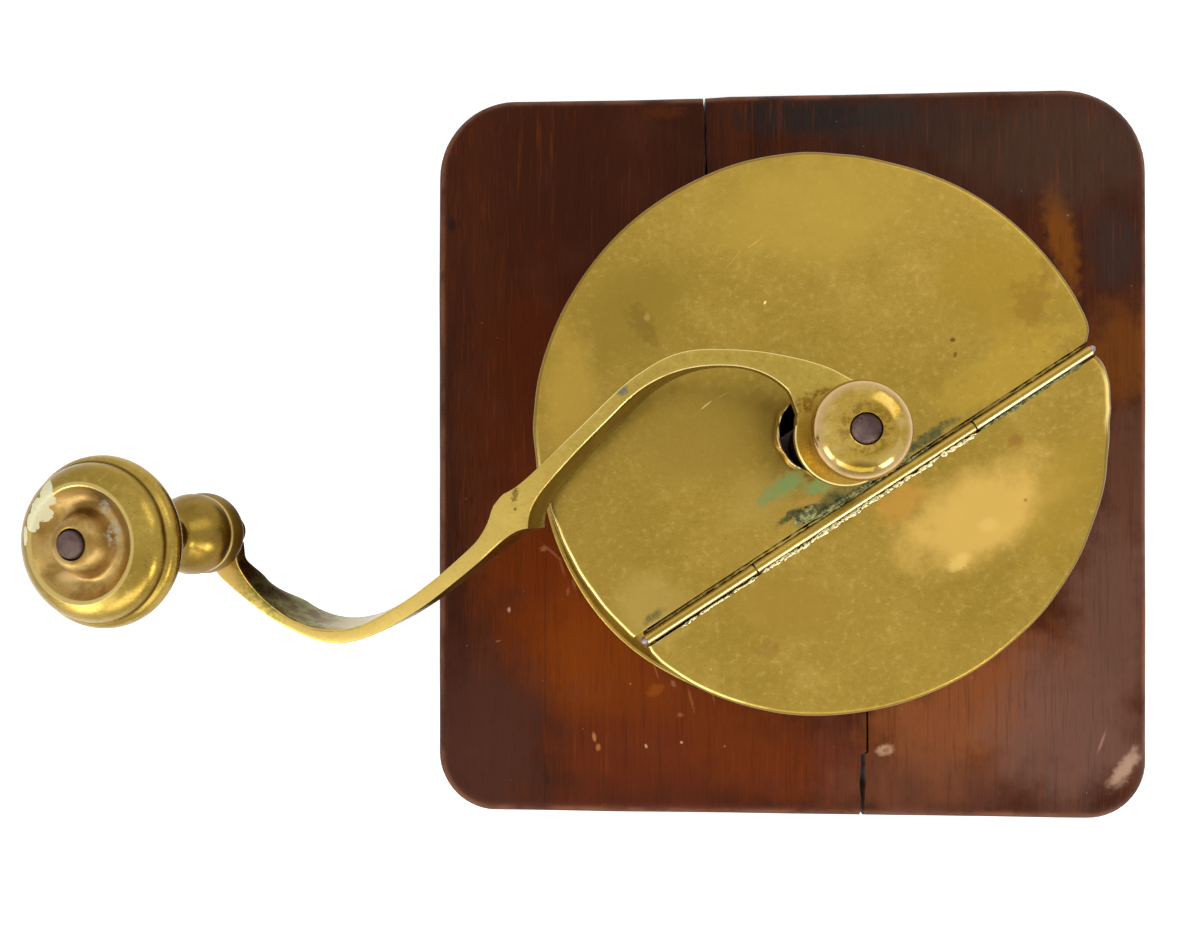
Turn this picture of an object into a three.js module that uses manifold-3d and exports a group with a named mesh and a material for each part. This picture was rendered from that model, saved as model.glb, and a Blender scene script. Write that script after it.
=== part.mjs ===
// A hand-cranked box mill for coffee: a mahogany box with a drawer, a round brass hopper with a hinged
// filler flap, an S-shaped brass crank with a turned knob, and a pair of iron burrs under the hopper.
// Millimetres, +Z up. The origin is on the shaft axis at the underside of the base board, and the
// drawer faces -Y.
import * as THREE from "three";
import { mergeVertices } from "three/addons/utils/BufferGeometryUtils.js";
import Module from "manifold-3d";

const wasm = await Module();
wasm.setup();

// Gap round what turns, slides or is screwed in, and the plain screws' shank.
const FIT = 0.3;
const SCREW = 1.6;

// Driving dimensions of the box.
const BASE = { width: 196, depth: 199, height: 12, corner: 16 };
const TOP_BOARD = { width: 189.6, depth: 194.5, z: 100, height: 14, shift: -1 };
const TOP_CORNERS = { backRight: 22.5, backLeft: 21, frontLeft: 15.8, frontRight: 15.8 };
const CARCASS = { width: 163, depth: 166, wall: 10 };
const TAIL = { count: 3, root: 14, end: 19, play: 0.15 };
const BASE_SCREW = { x: 76.5, y: 60, head: 4, shank: 1.8, length: 26 };

// Drawer and its bay.
const BAY = { width: 98, top: 54 };
const DRAWER = { play: 0.5, front: 10, side: 6, bottom: 4, length: 128, sideTop: 48 };
const RUNNER = { width: 8, height: 12, length: 122 };

// Hopper: drum with a nailed foot, funnel, lid.
const BOARD_TOP = TOP_BOARD.z + TOP_BOARD.height;
const SHEET = 1.2;
const DRUM = { radius: 59.6, top: 156.8, foot: 67.2 };
const NAIL = { count: 6, circle: 63.6, head: 1.8, shank: 0.8, length: 10 };
const FUNNEL = { rim: 58.1, rimTop: 139, rimBottom: 134, spout: 25, bottom: 117, sheet: 1 };
const LID = { radius: 65, top: 158, lipDepth: 5.5, hole: 8.8, collar: 9.8, collarRise: 1.1 };
// Centres of the hole and of the flap's arc in the lid's frame: neither is on the shaft's axis.
const HOLE_CENTRE = [0.7, 2.6];
const FLAP_CENTRE = [1.7, 3.4];
const HINGE = { offset: 15, turn: 33.4, half: 58.5, middle: 28.6, shift: 1, barrel: 1.3 };
const HINGE_PIN = { bore: 0.85, radius: 0.55 };
const LEAF = { width: 6, sheet: 0.8, play: 0.3, inset: 6.5 };
const BRIDGE = { half: 57.9, width: 12, z: 145, thick: 2.5, boss: 6.1, bossTop: 153, tab: 5.5 };

// Burrs and what carries them.
const HOUSING = { radius: 24, flange: 34, flangeThick: 3, bottom: 74, mouth: 21, screwCircle: 29.5 };
// The outer teeth are cut into a bore, so their depth is negative.
const OUTER_TEETH = { count: 18, tipTop: 19.2, tipBottom: 18.4, depth: -1.7, twist: 24 };
const INNER_BURR = { bottom: 77, coarseBottom: 91, top: 107 };
const INNER_TEETH = { count: 16, tipBottom: 17.8, tipTop: 15.2, depth: 1.5, twist: -26 };
const AUGER = { count: 4, tipBottom: 15.6, tipTop: 9.2, depth: 4, twist: -80 };
const YOKE = { half: 34, width: 12, z: 70.4, thick: 3.3, screwX: 28.5 };
const ADJUSTER = { bottom: 56, shank: 3.2, tip: 75, head: 5.5, wing: 9.5 };

// Shaft and crank. The arm is one S-shaped strip on edge, bent down just outside its hub.
const HUB_TOP = 183;
const SHAFT = { journal: 4, burrSquare: 9, hubSquare: 7, thread: 2.7, top: 199.7, bottom: 75.3 };
const ARM = { height: 12, eye: 4.5, hub: 9.9, pad: 5, padDepth: 5.4, radius: 133.8 };
const TAPER = { start: 118, length: 16, loss: 0.55 };
const ROOT = { end: 44, length: 28 };
const BEND = { start: 6, length: 16, droop: 7.93, heading: 12.4 };
const CRANK_REST = 188.5;
// Centre line of the arm, flat, seen from above with the knob end on +X: x, y and half the width.
const ARM_LINE = [
  [1, -4, 8],
  [5.2, -10.3, 5.1],
  [8.2, -13.3, 3.3],
  [16, -17.4, 1.8],
  [29.2, -19.5, 1.8],
  [38.2, -17, 1.5],
  [48.8, -10.2, 1.5],
  [62.8, 0, 1.7],
  [69.1, 5.2, 1.6],
  [76.8, 11.9, 1.6],
  [94.4, 21.9, 1.6],
  [114.3, 25.5, 1.5],
  [128, 17.6, 1.4],
  [133.4, 10, 2],
  [134.2, 3, 3.4],
];
const DIAMOND = { x: 69.1, rise: 3.4, fade: 3.6 };
// The knob's axis leans outward, so that it is about square to the bent arm.
const KNOB_LEAN = 9.5;
const KNOB_BORE = 2.85;
const SPINDLE = { radius: 2.5, top: 43.8 };

const degrees = Math.PI / 180;

const finish = (color, roughness, metalness) => () =>
  new THREE.MeshStandardMaterial({ color, roughness, metalness });
const mahogany = finish(0x6b2f17, 0.45, 0);
const innerWood = finish(0x9a6a3c, 0.7, 0);
const brass = finish(0xab913c, 0.35, 1);
const paleBrass = finish(0xcdb964, 0.3, 1);
const darkBrass = finish(0xa08232, 0.3, 1);
const steel = finish(0x6e5a55, 0.5, 1);
const castIron = finish(0x3c3a38, 0.6, 1);

// Closed mesh with shared vertices, and to solid and back.
function merge(geometry) {
  const bare = new THREE.BufferGeometry();
  bare.setAttribute("position", geometry.getAttribute("position"));
  if (geometry.index) bare.setIndex(geometry.index);
  return mergeVertices(bare, 1e-4);
}

function solid(geometry) {
  const merged = merge(geometry);
  return new wasm.Manifold(
    new wasm.Mesh({
      numProp: 3,
      vertProperties: new Float32Array(merged.attributes.position.array),
      triVerts: new Uint32Array(merged.index.array),
    }),
  );
}

function geometryOf(body) {
  const mesh = body.getMesh();
  const geometry = new THREE.BufferGeometry();
  geometry.setAttribute("position", new THREE.BufferAttribute(mesh.vertProperties, 3));
  geometry.setIndex(new THREE.BufferAttribute(mesh.triVerts, 1));
  geometry.computeVertexNormals();
  return geometry;
}

const join = (first, ...more) =>
  geometryOf(more.reduce((sum, g) => sum.add(solid(g)), solid(first)));
const cut = (first, ...holes) =>
  geometryOf(holes.reduce((rest, g) => rest.subtract(solid(g)), solid(first)));

// Box between two corners.
function block(low, high) {
  const size = high.map((v, i) => v - low[i]);
  const middle = high.map((v, i) => (v + low[i]) / 2);
  return new THREE.BoxGeometry(...size).translate(...middle);
}

// Solid of revolution about Z from [radius, height] pairs that close on themselves or on the axis.
function turned(profile, segments = 32) {
  const points = profile.map(([r, z]) => new THREE.Vector2(r, z));
  const geometry = new THREE.LatheGeometry(points, segments).rotateX(Math.PI / 2);
  return facingOut(geometry);
}

function facingOut(geometry) {
  const merged = merge(geometry);
  if (solid(merged).volume() > 0) return merged;
  const index = merged.index.array;
  for (let i = 0; i < index.length; i += 3) [index[i + 1], index[i + 2]] = [index[i + 2], index[i + 1]];
  return merged;
}

const ring = (inner, outer, bottom, top, segments) =>
  turned([[inner, bottom], [outer, bottom], [outer, top], [inner, top], [inner, bottom]], segments);
const rod = (radius, bottom, top, segments = 16) =>
  turned([[0, bottom], [radius, bottom], [radius, top], [0, top]], segments);

// [radius, height] pairs along an arc, angles in degrees from the outward direction.
function arc(centreRadius, centreHeight, radius, from, to, steps, flat = 1) {
  return Array.from({ length: steps + 1 }, (_, i) => {
    const angle = (from + ((to - from) * i) / steps) * degrees;
    return [centreRadius + radius * Math.cos(angle), centreHeight + radius * flat * Math.sin(angle)];
  });
}

// Solid through closed rings of points, which all have the same count, from the lowest to the highest.
function lofted(rings) {
  const count = rings[0].length;
  const points = rings.flat();
  const faces = [];
  const quad = (a, b, c, d) => faces.push(a, b, c, a, c, d);
  for (let k = 0; k + 1 < rings.length; k++)
    for (let i = 0; i < count; i++) {
      const next = (i + 1) % count;
      quad(k * count + i, k * count + next, (k + 1) * count + next, (k + 1) * count + i);
    }
  const middleOf = (r) => r.reduce((sum, p) => sum.map((v, i) => v + p[i] / r.length), [0, 0, 0]);
  const low = points.push(middleOf(rings[0])) - 1;
  const high = points.push(middleOf(rings.at(-1))) - 1;
  const last = (rings.length - 1) * count;
  for (let i = 0; i < count; i++) {
    const next = (i + 1) % count;
    faces.push(low, next, i, high, last + i, last + next);
  }
  const geometry = new THREE.BufferGeometry();
  geometry.setAttribute("position", new THREE.Float32BufferAttribute(points.flat(), 3));
  geometry.setIndex(faces);
  return geometry;
}

// Board with rounded corners and a moulded edge, given as [inset, height] pairs from the bottom up.
function mouldedBoard(width, depth, corners, edge, steps = 5) {
  const radii = [corners.backRight, corners.backLeft, corners.frontLeft, corners.frontRight];
  const signs = [[1, 1], [-1, 1], [-1, -1], [1, -1]];
  const outline = ([inset, z]) =>
    signs.flatMap(([sx, sy], n) =>
      Array.from({ length: steps + 1 }, (_, i) => {
        const angle = (n + i / steps) * 90 * degrees;
        const reach = radii[n] - inset;
        return [
          sx * (width / 2 - radii[n]) + reach * Math.cos(angle),
          sy * (depth / 2 - radii[n]) + reach * Math.sin(angle),
          z,
        ];
      }),
    );
  return lofted(edge.map(outline));
}

const part = new THREE.Group();

function add(parent, name, geometry, makeMaterial) {
  const mesh = new THREE.Mesh(geometry, makeMaterial());
  mesh.name = name;
  parent.add(mesh);
  return mesh;
}

function group(parent, position = [0, 0, 0], turn = 0) {
  const made = new THREE.Group();
  made.position.set(...position);
  made.rotation.z = turn * degrees;
  parent.add(made);
  return made;
}

const around = (count, circle, start = 0) =>
  Array.from({ length: count }, (_, i) => {
    const angle = (start + (360 * i) / count) * degrees;
    return [circle * Math.cos(angle), circle * Math.sin(angle)];
  });

// Box.
const baseScrews = [-1, 1].flatMap((sx) => [-1, 1].map((sy) => [sx * BASE_SCREW.x, sy * BASE_SCREW.y]));
const housingScrews = around(4, HOUSING.screwCircle, 45);
const nails = around(NAIL.count, NAIL.circle, 10);

function baseBoard() {
  const { width, depth, height, corner } = BASE;
  const corners = { backRight: corner, backLeft: corner, frontLeft: corner, frontRight: corner };
  const ogee = [
    [0.6, 0], [0, 0.6], [0, 5], [0.7, 6.4], [3, 7.2], [4.8, 9], [6, height],
  ];
  const holes = baseScrews.map(([x, y]) =>
    turned([[0, -1], [4.3, -1], [4.3, 0.4], [2.1, 3.6], [2.1, 13], [0, 13]], 12).translate(x, y, 0));
  add(part, "base_board", cut(mouldedBoard(width, depth, corners, ogee), ...holes), mahogany);
}

function topBoard() {
  const { width, depth, z, height, shift } = TOP_BOARD;
  const top = z + height;
  const rounded = [
    [1.2, z], [0, z + 1.5], [0, top - 4.5], [0.5, top - 2.6], [1.6, top - 1], [3.6, top],
  ];
  const holes = [
    rod(HOUSING.radius + 0.7, z - 1, top + 1, 32),
    ...nails.map(([x, y]) => rod(NAIL.shank + FIT, top - NAIL.length, top + 1, 8).translate(x, y, 0)),
    ...housingScrews.map(([x, y]) => rod(SCREW + FIT, top - 12, top + 1, 8).translate(x, y, 0)),
  ];
  const board = mouldedBoard(width, depth, TOP_CORNERS, rounded).translate(shift, 0, 0);
  add(part, "top_board", cut(board, ...holes), mahogany);
}

// One dovetail of a side wall, or with play the socket for it in the front or the back wall.
function dovetail(side, end, middle, play) {
  const inner = CARCASS.depth / 2 - CARCASS.wall;
  const half = (y) => TAIL.root / 2 + ((TAIL.end - TAIL.root) / 2) * ((y - inner) / CARCASS.wall) + play;
  const near = inner - 1;
  const far = inner + CARCASS.wall + (play ? 1 : 0);
  const shape = new THREE.Shape([
    new THREE.Vector2(near, middle - half(near)),
    new THREE.Vector2(far, middle - half(far)),
    new THREE.Vector2(far, middle + half(far)),
    new THREE.Vector2(near, middle + half(near)),
  ]);
  const depth = CARCASS.wall + (play ? 1 + play : 0);
  const tail = new THREE.ExtrudeGeometry(shape, { depth, bevelEnabled: false });
  // The outline's x is the tail's reach along Y and its y is the height, so the depth runs along X.
  tail.applyMatrix4(new THREE.Matrix4().set(0, 0, 1, 0, 1, 0, 0, 0, 0, 1, 0, 0, 0, 0, 0, 1));
  tail.translate(CARCASS.width / 2 - CARCASS.wall - play, 0, 0);
  return facingOut(tail.scale(side, end, 1));
}

function tails(sides, ends, play) {
  const low = BASE.height;
  const pitch = (TOP_BOARD.z - low) / TAIL.count;
  const heights = Array.from({ length: TAIL.count }, (_, i) => low + pitch * (i + 0.5));
  return sides.flatMap((s) => ends.flatMap((e) => heights.map((h) => dovetail(s, e, h, play))));
}

function carcass() {
  const x = CARCASS.width / 2;
  const y = CARCASS.depth / 2;
  const low = BASE.height;
  const high = TOP_BOARD.z;
  for (const [name, side] of [["left_wall", -1], ["right_wall", 1]]) {
    const xs = [side * x, side * (x - CARCASS.wall)].sort((a, b) => a - b);
    const plate = block([xs[0], CARCASS.wall - y, low], [xs[1], y - CARCASS.wall, high]);
    const holes = baseScrews
      .filter(([sx]) => sx * side > 0)
      .map(([sx, sy]) => rod(2.1, low - 1, BASE_SCREW.length + 1, 8).translate(sx, sy, 0));
    add(part, name, cut(join(plate, ...tails([side], [-1, 1], 0)), ...holes), mahogany);
  }
  const back = block([-x, y - CARCASS.wall, low], [x, y, high]);
  add(part, "back_wall", cut(back, ...tails([-1, 1], [1], TAIL.play)), mahogany);
  const front = block([-x, -y, low], [x, CARCASS.wall - y, high]);
  const bay = block([-BAY.width / 2, -y - 1, low - 1], [BAY.width / 2, CARCASS.wall - y + 1, BAY.top]);
  add(part, "front_wall", cut(front, bay, ...tails([-1, 1], [-1], TAIL.play)), mahogany);
  for (const [name, side] of [["left_runner", -1], ["right_runner", 1]]) {
    const xs = [side * (BAY.width / 2), side * (BAY.width / 2 + RUNNER.width)].sort((a, b) => a - b);
    const yFront = CARCASS.wall - y;
    const rail = block([xs[0], yFront, low], [xs[1], yFront + RUNNER.length, low + RUNNER.height]);
    add(part, name, rail, innerWood);
  }
}

function screwsOfBase() {
  baseScrews.forEach(([x, y], i) => {
    const { head, shank, length } = BASE_SCREW;
    const screw = turned([[0, 0.4], [head, 0.4], [shank, 3.2], [shank, length - 4], [0, length]], 12);
    add(part, "base_screw_" + (i + 1), screw, steel).position.set(x, y, 0);
  });
}

// Drawer, in its own group so that it slides along -Y.
function drawer() {
  const own = group(part);
  const front = -CARCASS.depth / 2;
  const half = BAY.width / 2 - DRAWER.play;
  const low = BASE.height + DRAWER.play;
  const inner = front + DRAWER.front;
  const back = front + DRAWER.length;
  const floor = low + DRAWER.bottom;
  const edge = 2;
  const field = { backRight: edge, backLeft: edge, frontLeft: edge, frontRight: edge };
  const tall = BAY.top - DRAWER.play - low;
  const panel = mouldedBoard(2 * half, tall, field, [[0, 0], [0, 9.2], [0.8, 10.4], [1.8, 11]], 2);
  panel.rotateX(Math.PI / 2).translate(0, inner, low + tall / 2);
  const postHeight = low + tall / 2;
  const hole = rod(2.3, -1, 14, 12).rotateX(Math.PI / 2).translate(0, inner + 1, postHeight);
  add(own, "drawer_front", cut(panel, hole), mahogany);
  add(own, "drawer_bottom", block([-half, inner, low], [half, back, floor]), innerWood);
  add(own, "drawer_left_side", block([-half, inner, floor], [-half + DRAWER.side, back, DRAWER.sideTop]),
    innerWood);
  add(own, "drawer_right_side", block([half - DRAWER.side, inner, floor], [half, back, DRAWER.sideTop]),
    innerWood);
  add(own, "drawer_back",
    block([-half + DRAWER.side, back - DRAWER.side, floor], [half - DRAWER.side, back, DRAWER.sideTop]),
    innerWood);
  drawerKnob(own, inner, postHeight);
}

function drawerKnob(own, inner, height) {
  const face = inner - 11;
  const profile = [
    [0, -12.6], [2, -12.6], [2, 0.3], [5.2, 0.3], [5.2, 1.4], [3.2, 2.4], [2.9, 4.4],
    ...arc(0, 10, 7.4, -50, 62, 5, 0.72), [2.6, 16], [0, 16.4],
  ];
  const knob = turned(profile, 16).rotateX(Math.PI / 2).translate(0, face, height);
  add(own, "drawer_knob", knob, brass);
  const nut = cut(rod(4.2, 0, 2.4, 6), rod(2.3, -1, 4, 12));
  add(own, "drawer_knob_nut", nut.rotateX(Math.PI / 2).translate(0, inner + 2.6, height), brass);
}

// Hopper.
function drum() {
  const { radius, top, foot } = DRUM;
  const shell = turned([
    [radius - SHEET, BOARD_TOP], [foot, BOARD_TOP], [foot, BOARD_TOP + SHEET],
    [radius + 1, BOARD_TOP + SHEET], [radius, BOARD_TOP + SHEET + 1], [radius, top],
    [radius - SHEET, top], [radius - SHEET, BOARD_TOP],
  ], 48);
  const hinge = block([-70, -HINGE.offset - 2, top - 1.2], [70, -HINGE.offset + 2, top + 1]);
  const screwWay = rod(SCREW + FIT, -70, 70, 12).rotateY(Math.PI / 2).translate(0, 0, bridgeScrewHeight());
  const turnedHoles = [hinge, screwWay].map((g) => g.rotateZ(HINGE.turn * degrees));
  const nailHoles = nails.map(([x, y]) =>
    rod(NAIL.shank + FIT, BOARD_TOP - 1, BOARD_TOP + 3, 8).translate(x, y, 0));
  add(part, "hopper_drum", cut(shell, ...turnedHoles, ...nailHoles), brass);
  nails.forEach(([x, y], i) => {
    const top = BOARD_TOP + SHEET;
    const nail = turned([
      [0, top - NAIL.length], [NAIL.shank, top - NAIL.length + 2], [NAIL.shank, top],
      ...arc(0, top, NAIL.head, 0, 90, 2, 0.5),
    ], 8);
    add(part, "foot_nail_" + (i + 1), nail, darkBrass).position.set(x, y, 0);
  });
}

function funnel() {
  const { rim, rimTop, rimBottom, spout, bottom, sheet } = FUNNEL;
  add(part, "hopper_funnel", turned([
    [spout - sheet, bottom], [spout, bottom], [spout, bottom + 1.2], [rim, rimBottom], [rim, rimTop],
    [rim - sheet, rimTop], [rim - sheet, rimBottom + 0.6], [spout - sheet, bottom + 1.9],
    [spout - sheet, bottom],
  ], 36), brass);
}

const bridgeScrewHeight = () => BRIDGE.z - BRIDGE.tab / 2;

// Strap across the hopper that carries the upper bearing, with its two screws through the drum.
function topBridge(own) {
  const { half, width, z, thick, boss, bossTop, tab } = BRIDGE;
  const strap = block([-half, -width / 2, z], [half, width / 2, z + thick]);
  const ends = [-1, 1].map((s) =>
    block([s > 0 ? half - 2 : -half, -width / 2, z - tab], [s > 0 ? half : 2 - half, width / 2, z + 1]));
  const bearing = turned([[0, z - 3], [boss, z - 3], [boss, bossTop - 0.8], [boss - 0.8, bossTop],
    [0, bossTop]], 20);
  const holes = [
    rod(SHAFT.journal + FIT, z - 4, bossTop + 1, 20),
    rod(SCREW + FIT, -70, 70, 12).rotateY(Math.PI / 2).translate(0, 0, bridgeScrewHeight()),
  ];
  add(own, "top_bridge", cut(join(strap, ...ends, bearing), ...holes), steel);
  for (const [name, side] of [["bridge_screw_left", -1], ["bridge_screw_right", 1]]) {
    const shape = [[0, 0], [SCREW, 0], [SCREW, 6.3], ...arc(0, 6.3, 2.6, 0, 90, 2, 0.55)];
    const screw = turned(shape, 10).rotateY((side * Math.PI) / 2);
    add(own, name, screw, brass).position.set(side * (DRUM.radius - 6), 0, bridgeScrewHeight());
  }
}

// Segment of the lid on one side of the hinge: side is -1 for the flap and 1 for the fixed plate.
function lidShell(side) {
  const { radius, top, lipDepth } = LID;
  const under = top - SHEET;
  const shell = turned([
    [0, under], [radius - SHEET, under], [radius - SHEET, top - lipDepth], [radius, top - lipDepth],
    [radius, top - 0.9], [radius - 0.9, top], [0, top],
  ], 60);
  if (side < 0) shell.translate(...FLAP_CENTRE, 0);
  const room = HINGE.barrel + LEAF.play;
  const edge = -HINGE.offset + side * room;
  const away = block(
    [-80, side > 0 ? -80 : edge, top - 20],
    [80, side > 0 ? edge : 80, top + 20],
  );
  return cut(shell, away);
}

function lid(own) {
  const { top, hole, collar, collarRise } = LID;
  const opening = rod(hole, top - 4, top + 4, 32).translate(...HOLE_CENTRE, 0);
  add(own, "lid_plate", cut(lidShell(1), opening), brass);
  const rim = turned([
    [hole, top], [collar, top], [collar, top + collarRise - 0.4], [collar - 0.4, top + collarRise],
    [hole, top + collarRise], [hole, top],
  ], 28);
  add(own, "lid_collar", rim.translate(...HOLE_CENTRE, 0), brass);
  add(own, "filler_flap", lidShell(-1), brass);
}

// Rolled hinge: the fixed leaf has the two outer knuckles and the flap's leaf the middle one.
function hinge(parent) {
  const own = group(parent, [HINGE.shift, 0, 0]);
  const axis = LID.top - SHEET - LEAF.sheet + HINGE.barrel;
  const along = (radius, from, to, segments) =>
    rod(radius, from, to, segments).rotateY(Math.PI / 2).translate(0, -HINGE.offset, axis);
  const leafTop = LID.top - SHEET;
  const leaf = (side, from, to) => {
    const near = -HINGE.offset;
    const far = -HINGE.offset + side * (HINGE.barrel + LEAF.play + LEAF.width);
    return block([from, Math.min(near, far), leafTop - LEAF.sheet], [to, Math.max(near, far), leafTop]);
  };
  const { half, middle, barrel } = HINGE;
  const gap = LEAF.play / 2;
  const bind = (side, spans) => {
    const end = half - LEAF.inset;
    const strip = leaf(side, -end, end);
    const roots = spans.map(([a, b]) => leaf(side, Math.max(a, -end), Math.min(b, end)));
    const knuckles = spans.map(([a, b]) => along(barrel, a, b, 16));
    const clear = block(
      [-half - 1, -HINGE.offset - (side > 0 ? 4 : barrel + LEAF.play), leafTop - 3],
      [half + 1, -HINGE.offset + (side > 0 ? barrel + LEAF.play : 4), leafTop + 3],
    );
    const plate = cut(strip, clear);
    const notch = rod(LID.collar + 0.6, leafTop - 3, leafTop + 1, 24)
      .translate(HOLE_CENTRE[0] - HINGE.shift, HOLE_CENTRE[1], 0);
    return cut(join(plate, ...roots, ...knuckles), along(HINGE_PIN.bore, -half - 1, half + 1, 16), notch);
  };
  add(own, "hinge_leaf_fixed", bind(1, [[-half, -middle - gap], [middle + gap, half]]), darkBrass);
  add(own, "hinge_leaf_flap", bind(-1, [[-middle + gap, middle - gap]]), darkBrass);
  add(own, "hinge_pin", along(HINGE_PIN.radius, -half - 1.4, half + 1.4, 12), steel);
}

// Ring of saw teeth about Z, seen from above.
function toothed(count, tip, depth, turn, z) {
  return Array.from({ length: count * 2 }, (_, i) => {
    const lead = i % 2 ? 0.25 : 0;
    const angle = ((Math.floor(i / 2) + (i % 2) * 0.5 + lead) / count) * 360 + turn;
    const radius = i % 2 ? tip - depth : tip;
    return [radius * Math.cos(angle * degrees), radius * Math.sin(angle * degrees), z];
  });
}

function twisted(teeth, bottom, top, steps) {
  return lofted(
    Array.from({ length: steps + 1 }, (_, i) => {
      const share = i / steps;
      const tip = teeth.tipBottom + (teeth.tipTop - teeth.tipBottom) * share;
      return toothed(teeth.count, tip, teeth.depth, teeth.twist * share, bottom + (top - bottom) * share);
    }),
  );
}

// Iron housing that hangs through the top board, with the outer burr's teeth cut in its bore.
function outerBurr() {
  const { radius, flange, flangeThick, bottom, mouth } = HOUSING;
  const seat = BOARD_TOP + flangeThick;
  const body = turned([
    [0, bottom], [radius - 1, bottom], [radius, bottom + 1], [radius, BOARD_TOP], [flange, BOARD_TOP],
    [flange, seat - 0.8], [flange - 0.8, seat], [0, seat],
  ], 36);
  const ears = block([-YOKE.half, -5, bottom], [YOKE.half, 5, bottom + 8]);
  const bore = twisted(OUTER_TEETH, bottom - 1, 111, 3);
  const cup = turned([[0, 108], [OUTER_TEETH.tipTop - 2, 108], [mouth, 113], [mouth + 1, seat + 1],
    [0, seat + 1]], 32);
  const holes = [
    ...housingScrews.map(([x, y]) => rod(SCREW + FIT, BOARD_TOP - 1, seat + 1, 8).translate(x, y, 0)),
    ...[-1, 1].map((s) => rod(SCREW + FIT, bottom - 1, bottom + 9, 8).translate(s * YOKE.screwX, 0, 0)),
  ];
  add(part, "outer_burr", cut(join(body, ears), bore, cup, ...holes), castIron);
  housingScrews.forEach(([x, y], i) => {
    const head = arc(0, seat, 3, 0, 90, 2, 0.6);
    const screw = turned([[0, seat - 15], [SCREW, seat - 11], [SCREW, seat], ...head], 10);
    add(part, "housing_screw_" + (i + 1), screw, steel).position.set(x, y, 0);
  });
}

// Yoke under the burrs with the thumb screw that lifts the shaft and so sets the grind.
function yoke() {
  const { half, width, z, thick, screwX } = YOKE;
  const strap = block([-half, -width / 2, z], [half, width / 2, z + thick]);
  const holes = [
    rod(ADJUSTER.shank + FIT, z - 1, z + 5, 16),
    ...[-1, 1].map((s) => rod(SCREW + FIT, z - 1, z + 5, 8).translate(s * screwX, 0, 0)),
  ];
  add(part, "burr_yoke", cut(strap, ...holes), steel);
  for (const [name, side] of [["yoke_screw_left", -1], ["yoke_screw_right", 1]]) {
    const head = arc(0, z, 2.8, -90, 0, 2, 0.6);
    const screw = turned([...head, [SCREW, z], [SCREW, z + 10], [0, z + 10]], 10);
    add(part, name, screw, steel).position.set(side * screwX, 0, 0);
  }
  const nut = cut(rod(6, z - 4.4, z - 0.3, 6), rod(ADJUSTER.shank + FIT, z - 6, z + 1, 16));
  add(part, "adjuster_lock_nut", nut, brass);
  const { bottom, shank, tip, head, wing } = ADJUSTER;
  const stem = turned([
    [0, bottom], [head - 1, bottom], [head, bottom + 1], [head, bottom + 4], [head - 1, bottom + 5],
    [shank, bottom + 5], [shank, tip - 1.5], [0, tip],
  ], 20);
  const wings = [-1, 1].map((s) =>
    new THREE.CylinderGeometry(4.2, 4.2, 1.8, 12).translate(s * (wing - 4.2), bottom + 4.2, 0)
      .rotateX(Math.PI / 2));
  add(part, "adjuster_screw", join(stem, ...wings), brass);
}

// Crank: everything that turns with the shaft. Its group has its origin at the top of the hub.
function shaft(own) {
  const { journal, burrSquare, hubSquare, thread, top, bottom } = SHAFT;
  const z = (height) => height - HUB_TOP;
  const under = -ARM.eye;
  const round = turned([
    [0, z(bottom)], [2.6, z(bottom)], [4.4, z(bottom) + 0.7], [6.8, z(bottom) + 0.7], [6.8, z(76.7)],
    [journal, z(76.7)], [journal, under - 1.6], [6.2, under - 1.6], [6.2, under - FIT],
    [3, under - FIT], [3, -1], [thread, -1], [thread, z(top) - 0.6], [thread - 0.6, z(top)],
    [0, z(top)],
  ], 20);
  const square = (size, low, high) => block([-size / 2, -size / 2, low], [size / 2, size / 2, high]);
  const burrSeat = square(burrSquare, z(76), z(INNER_BURR.top + 0.6));
  const hubSeat = square(hubSquare, under - 1, -0.2);
  const pinHole = rod(1.3, -10, 10, 12).rotateX(Math.PI / 2).translate(0, 0, z(cotterHeight()));
  add(own, "crank_shaft", cut(join(round, burrSeat, hubSeat), pinHole), steel);
  const cotter = rod(1, -8, 8, 10).rotateX(Math.PI / 2).translate(0, 0, z(cotterHeight()));
  add(own, "burr_cotter", cotter, steel);
}

const cotterHeight = () => INNER_BURR.top + 2.2;

function innerBurr(own) {
  const { bottom, coarseBottom, top } = INNER_BURR;
  const grinding = twisted(INNER_TEETH, bottom, coarseBottom, 3);
  const auger = twisted(AUGER, coarseBottom - 1, top, 5);
  const core = turned([[0, bottom + 0.5], [14, bottom + 0.5], [8.4, top], [0, top]], 20);
  const half = SHAFT.burrSquare / 2 + FIT;
  const bore = block([-half, -half, bottom - 2], [half, half, top + 2]);
  const burr = cut(join(grinding, auger, core), bore);
  add(own, "inner_burr", burr.translate(0, 0, -HUB_TOP), castIron);
}

// Bends the arm down across its heading, just outside the hub: the top face keeps its length.
function bendDown(geometry) {
  const turn = BEND.droop * degrees;
  const radius = BEND.length / turn;
  geometry.rotateZ(-BEND.heading * degrees);
  const at = geometry.getAttribute("position");
  for (let i = 0; i < at.count; i++) {
    const along = at.getX(i) - BEND.start;
    if (along <= 0) continue;
    const angle = Math.min(along / radius, turn);
    const rest = Math.max(along - BEND.length, 0);
    const reach = radius + at.getZ(i);
    at.setX(i, BEND.start + reach * Math.sin(angle) + rest * Math.cos(turn));
    at.setZ(i, reach * Math.cos(angle) - radius - rest * Math.sin(turn));
  }
  return geometry.rotateZ(BEND.heading * degrees);
}

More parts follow.
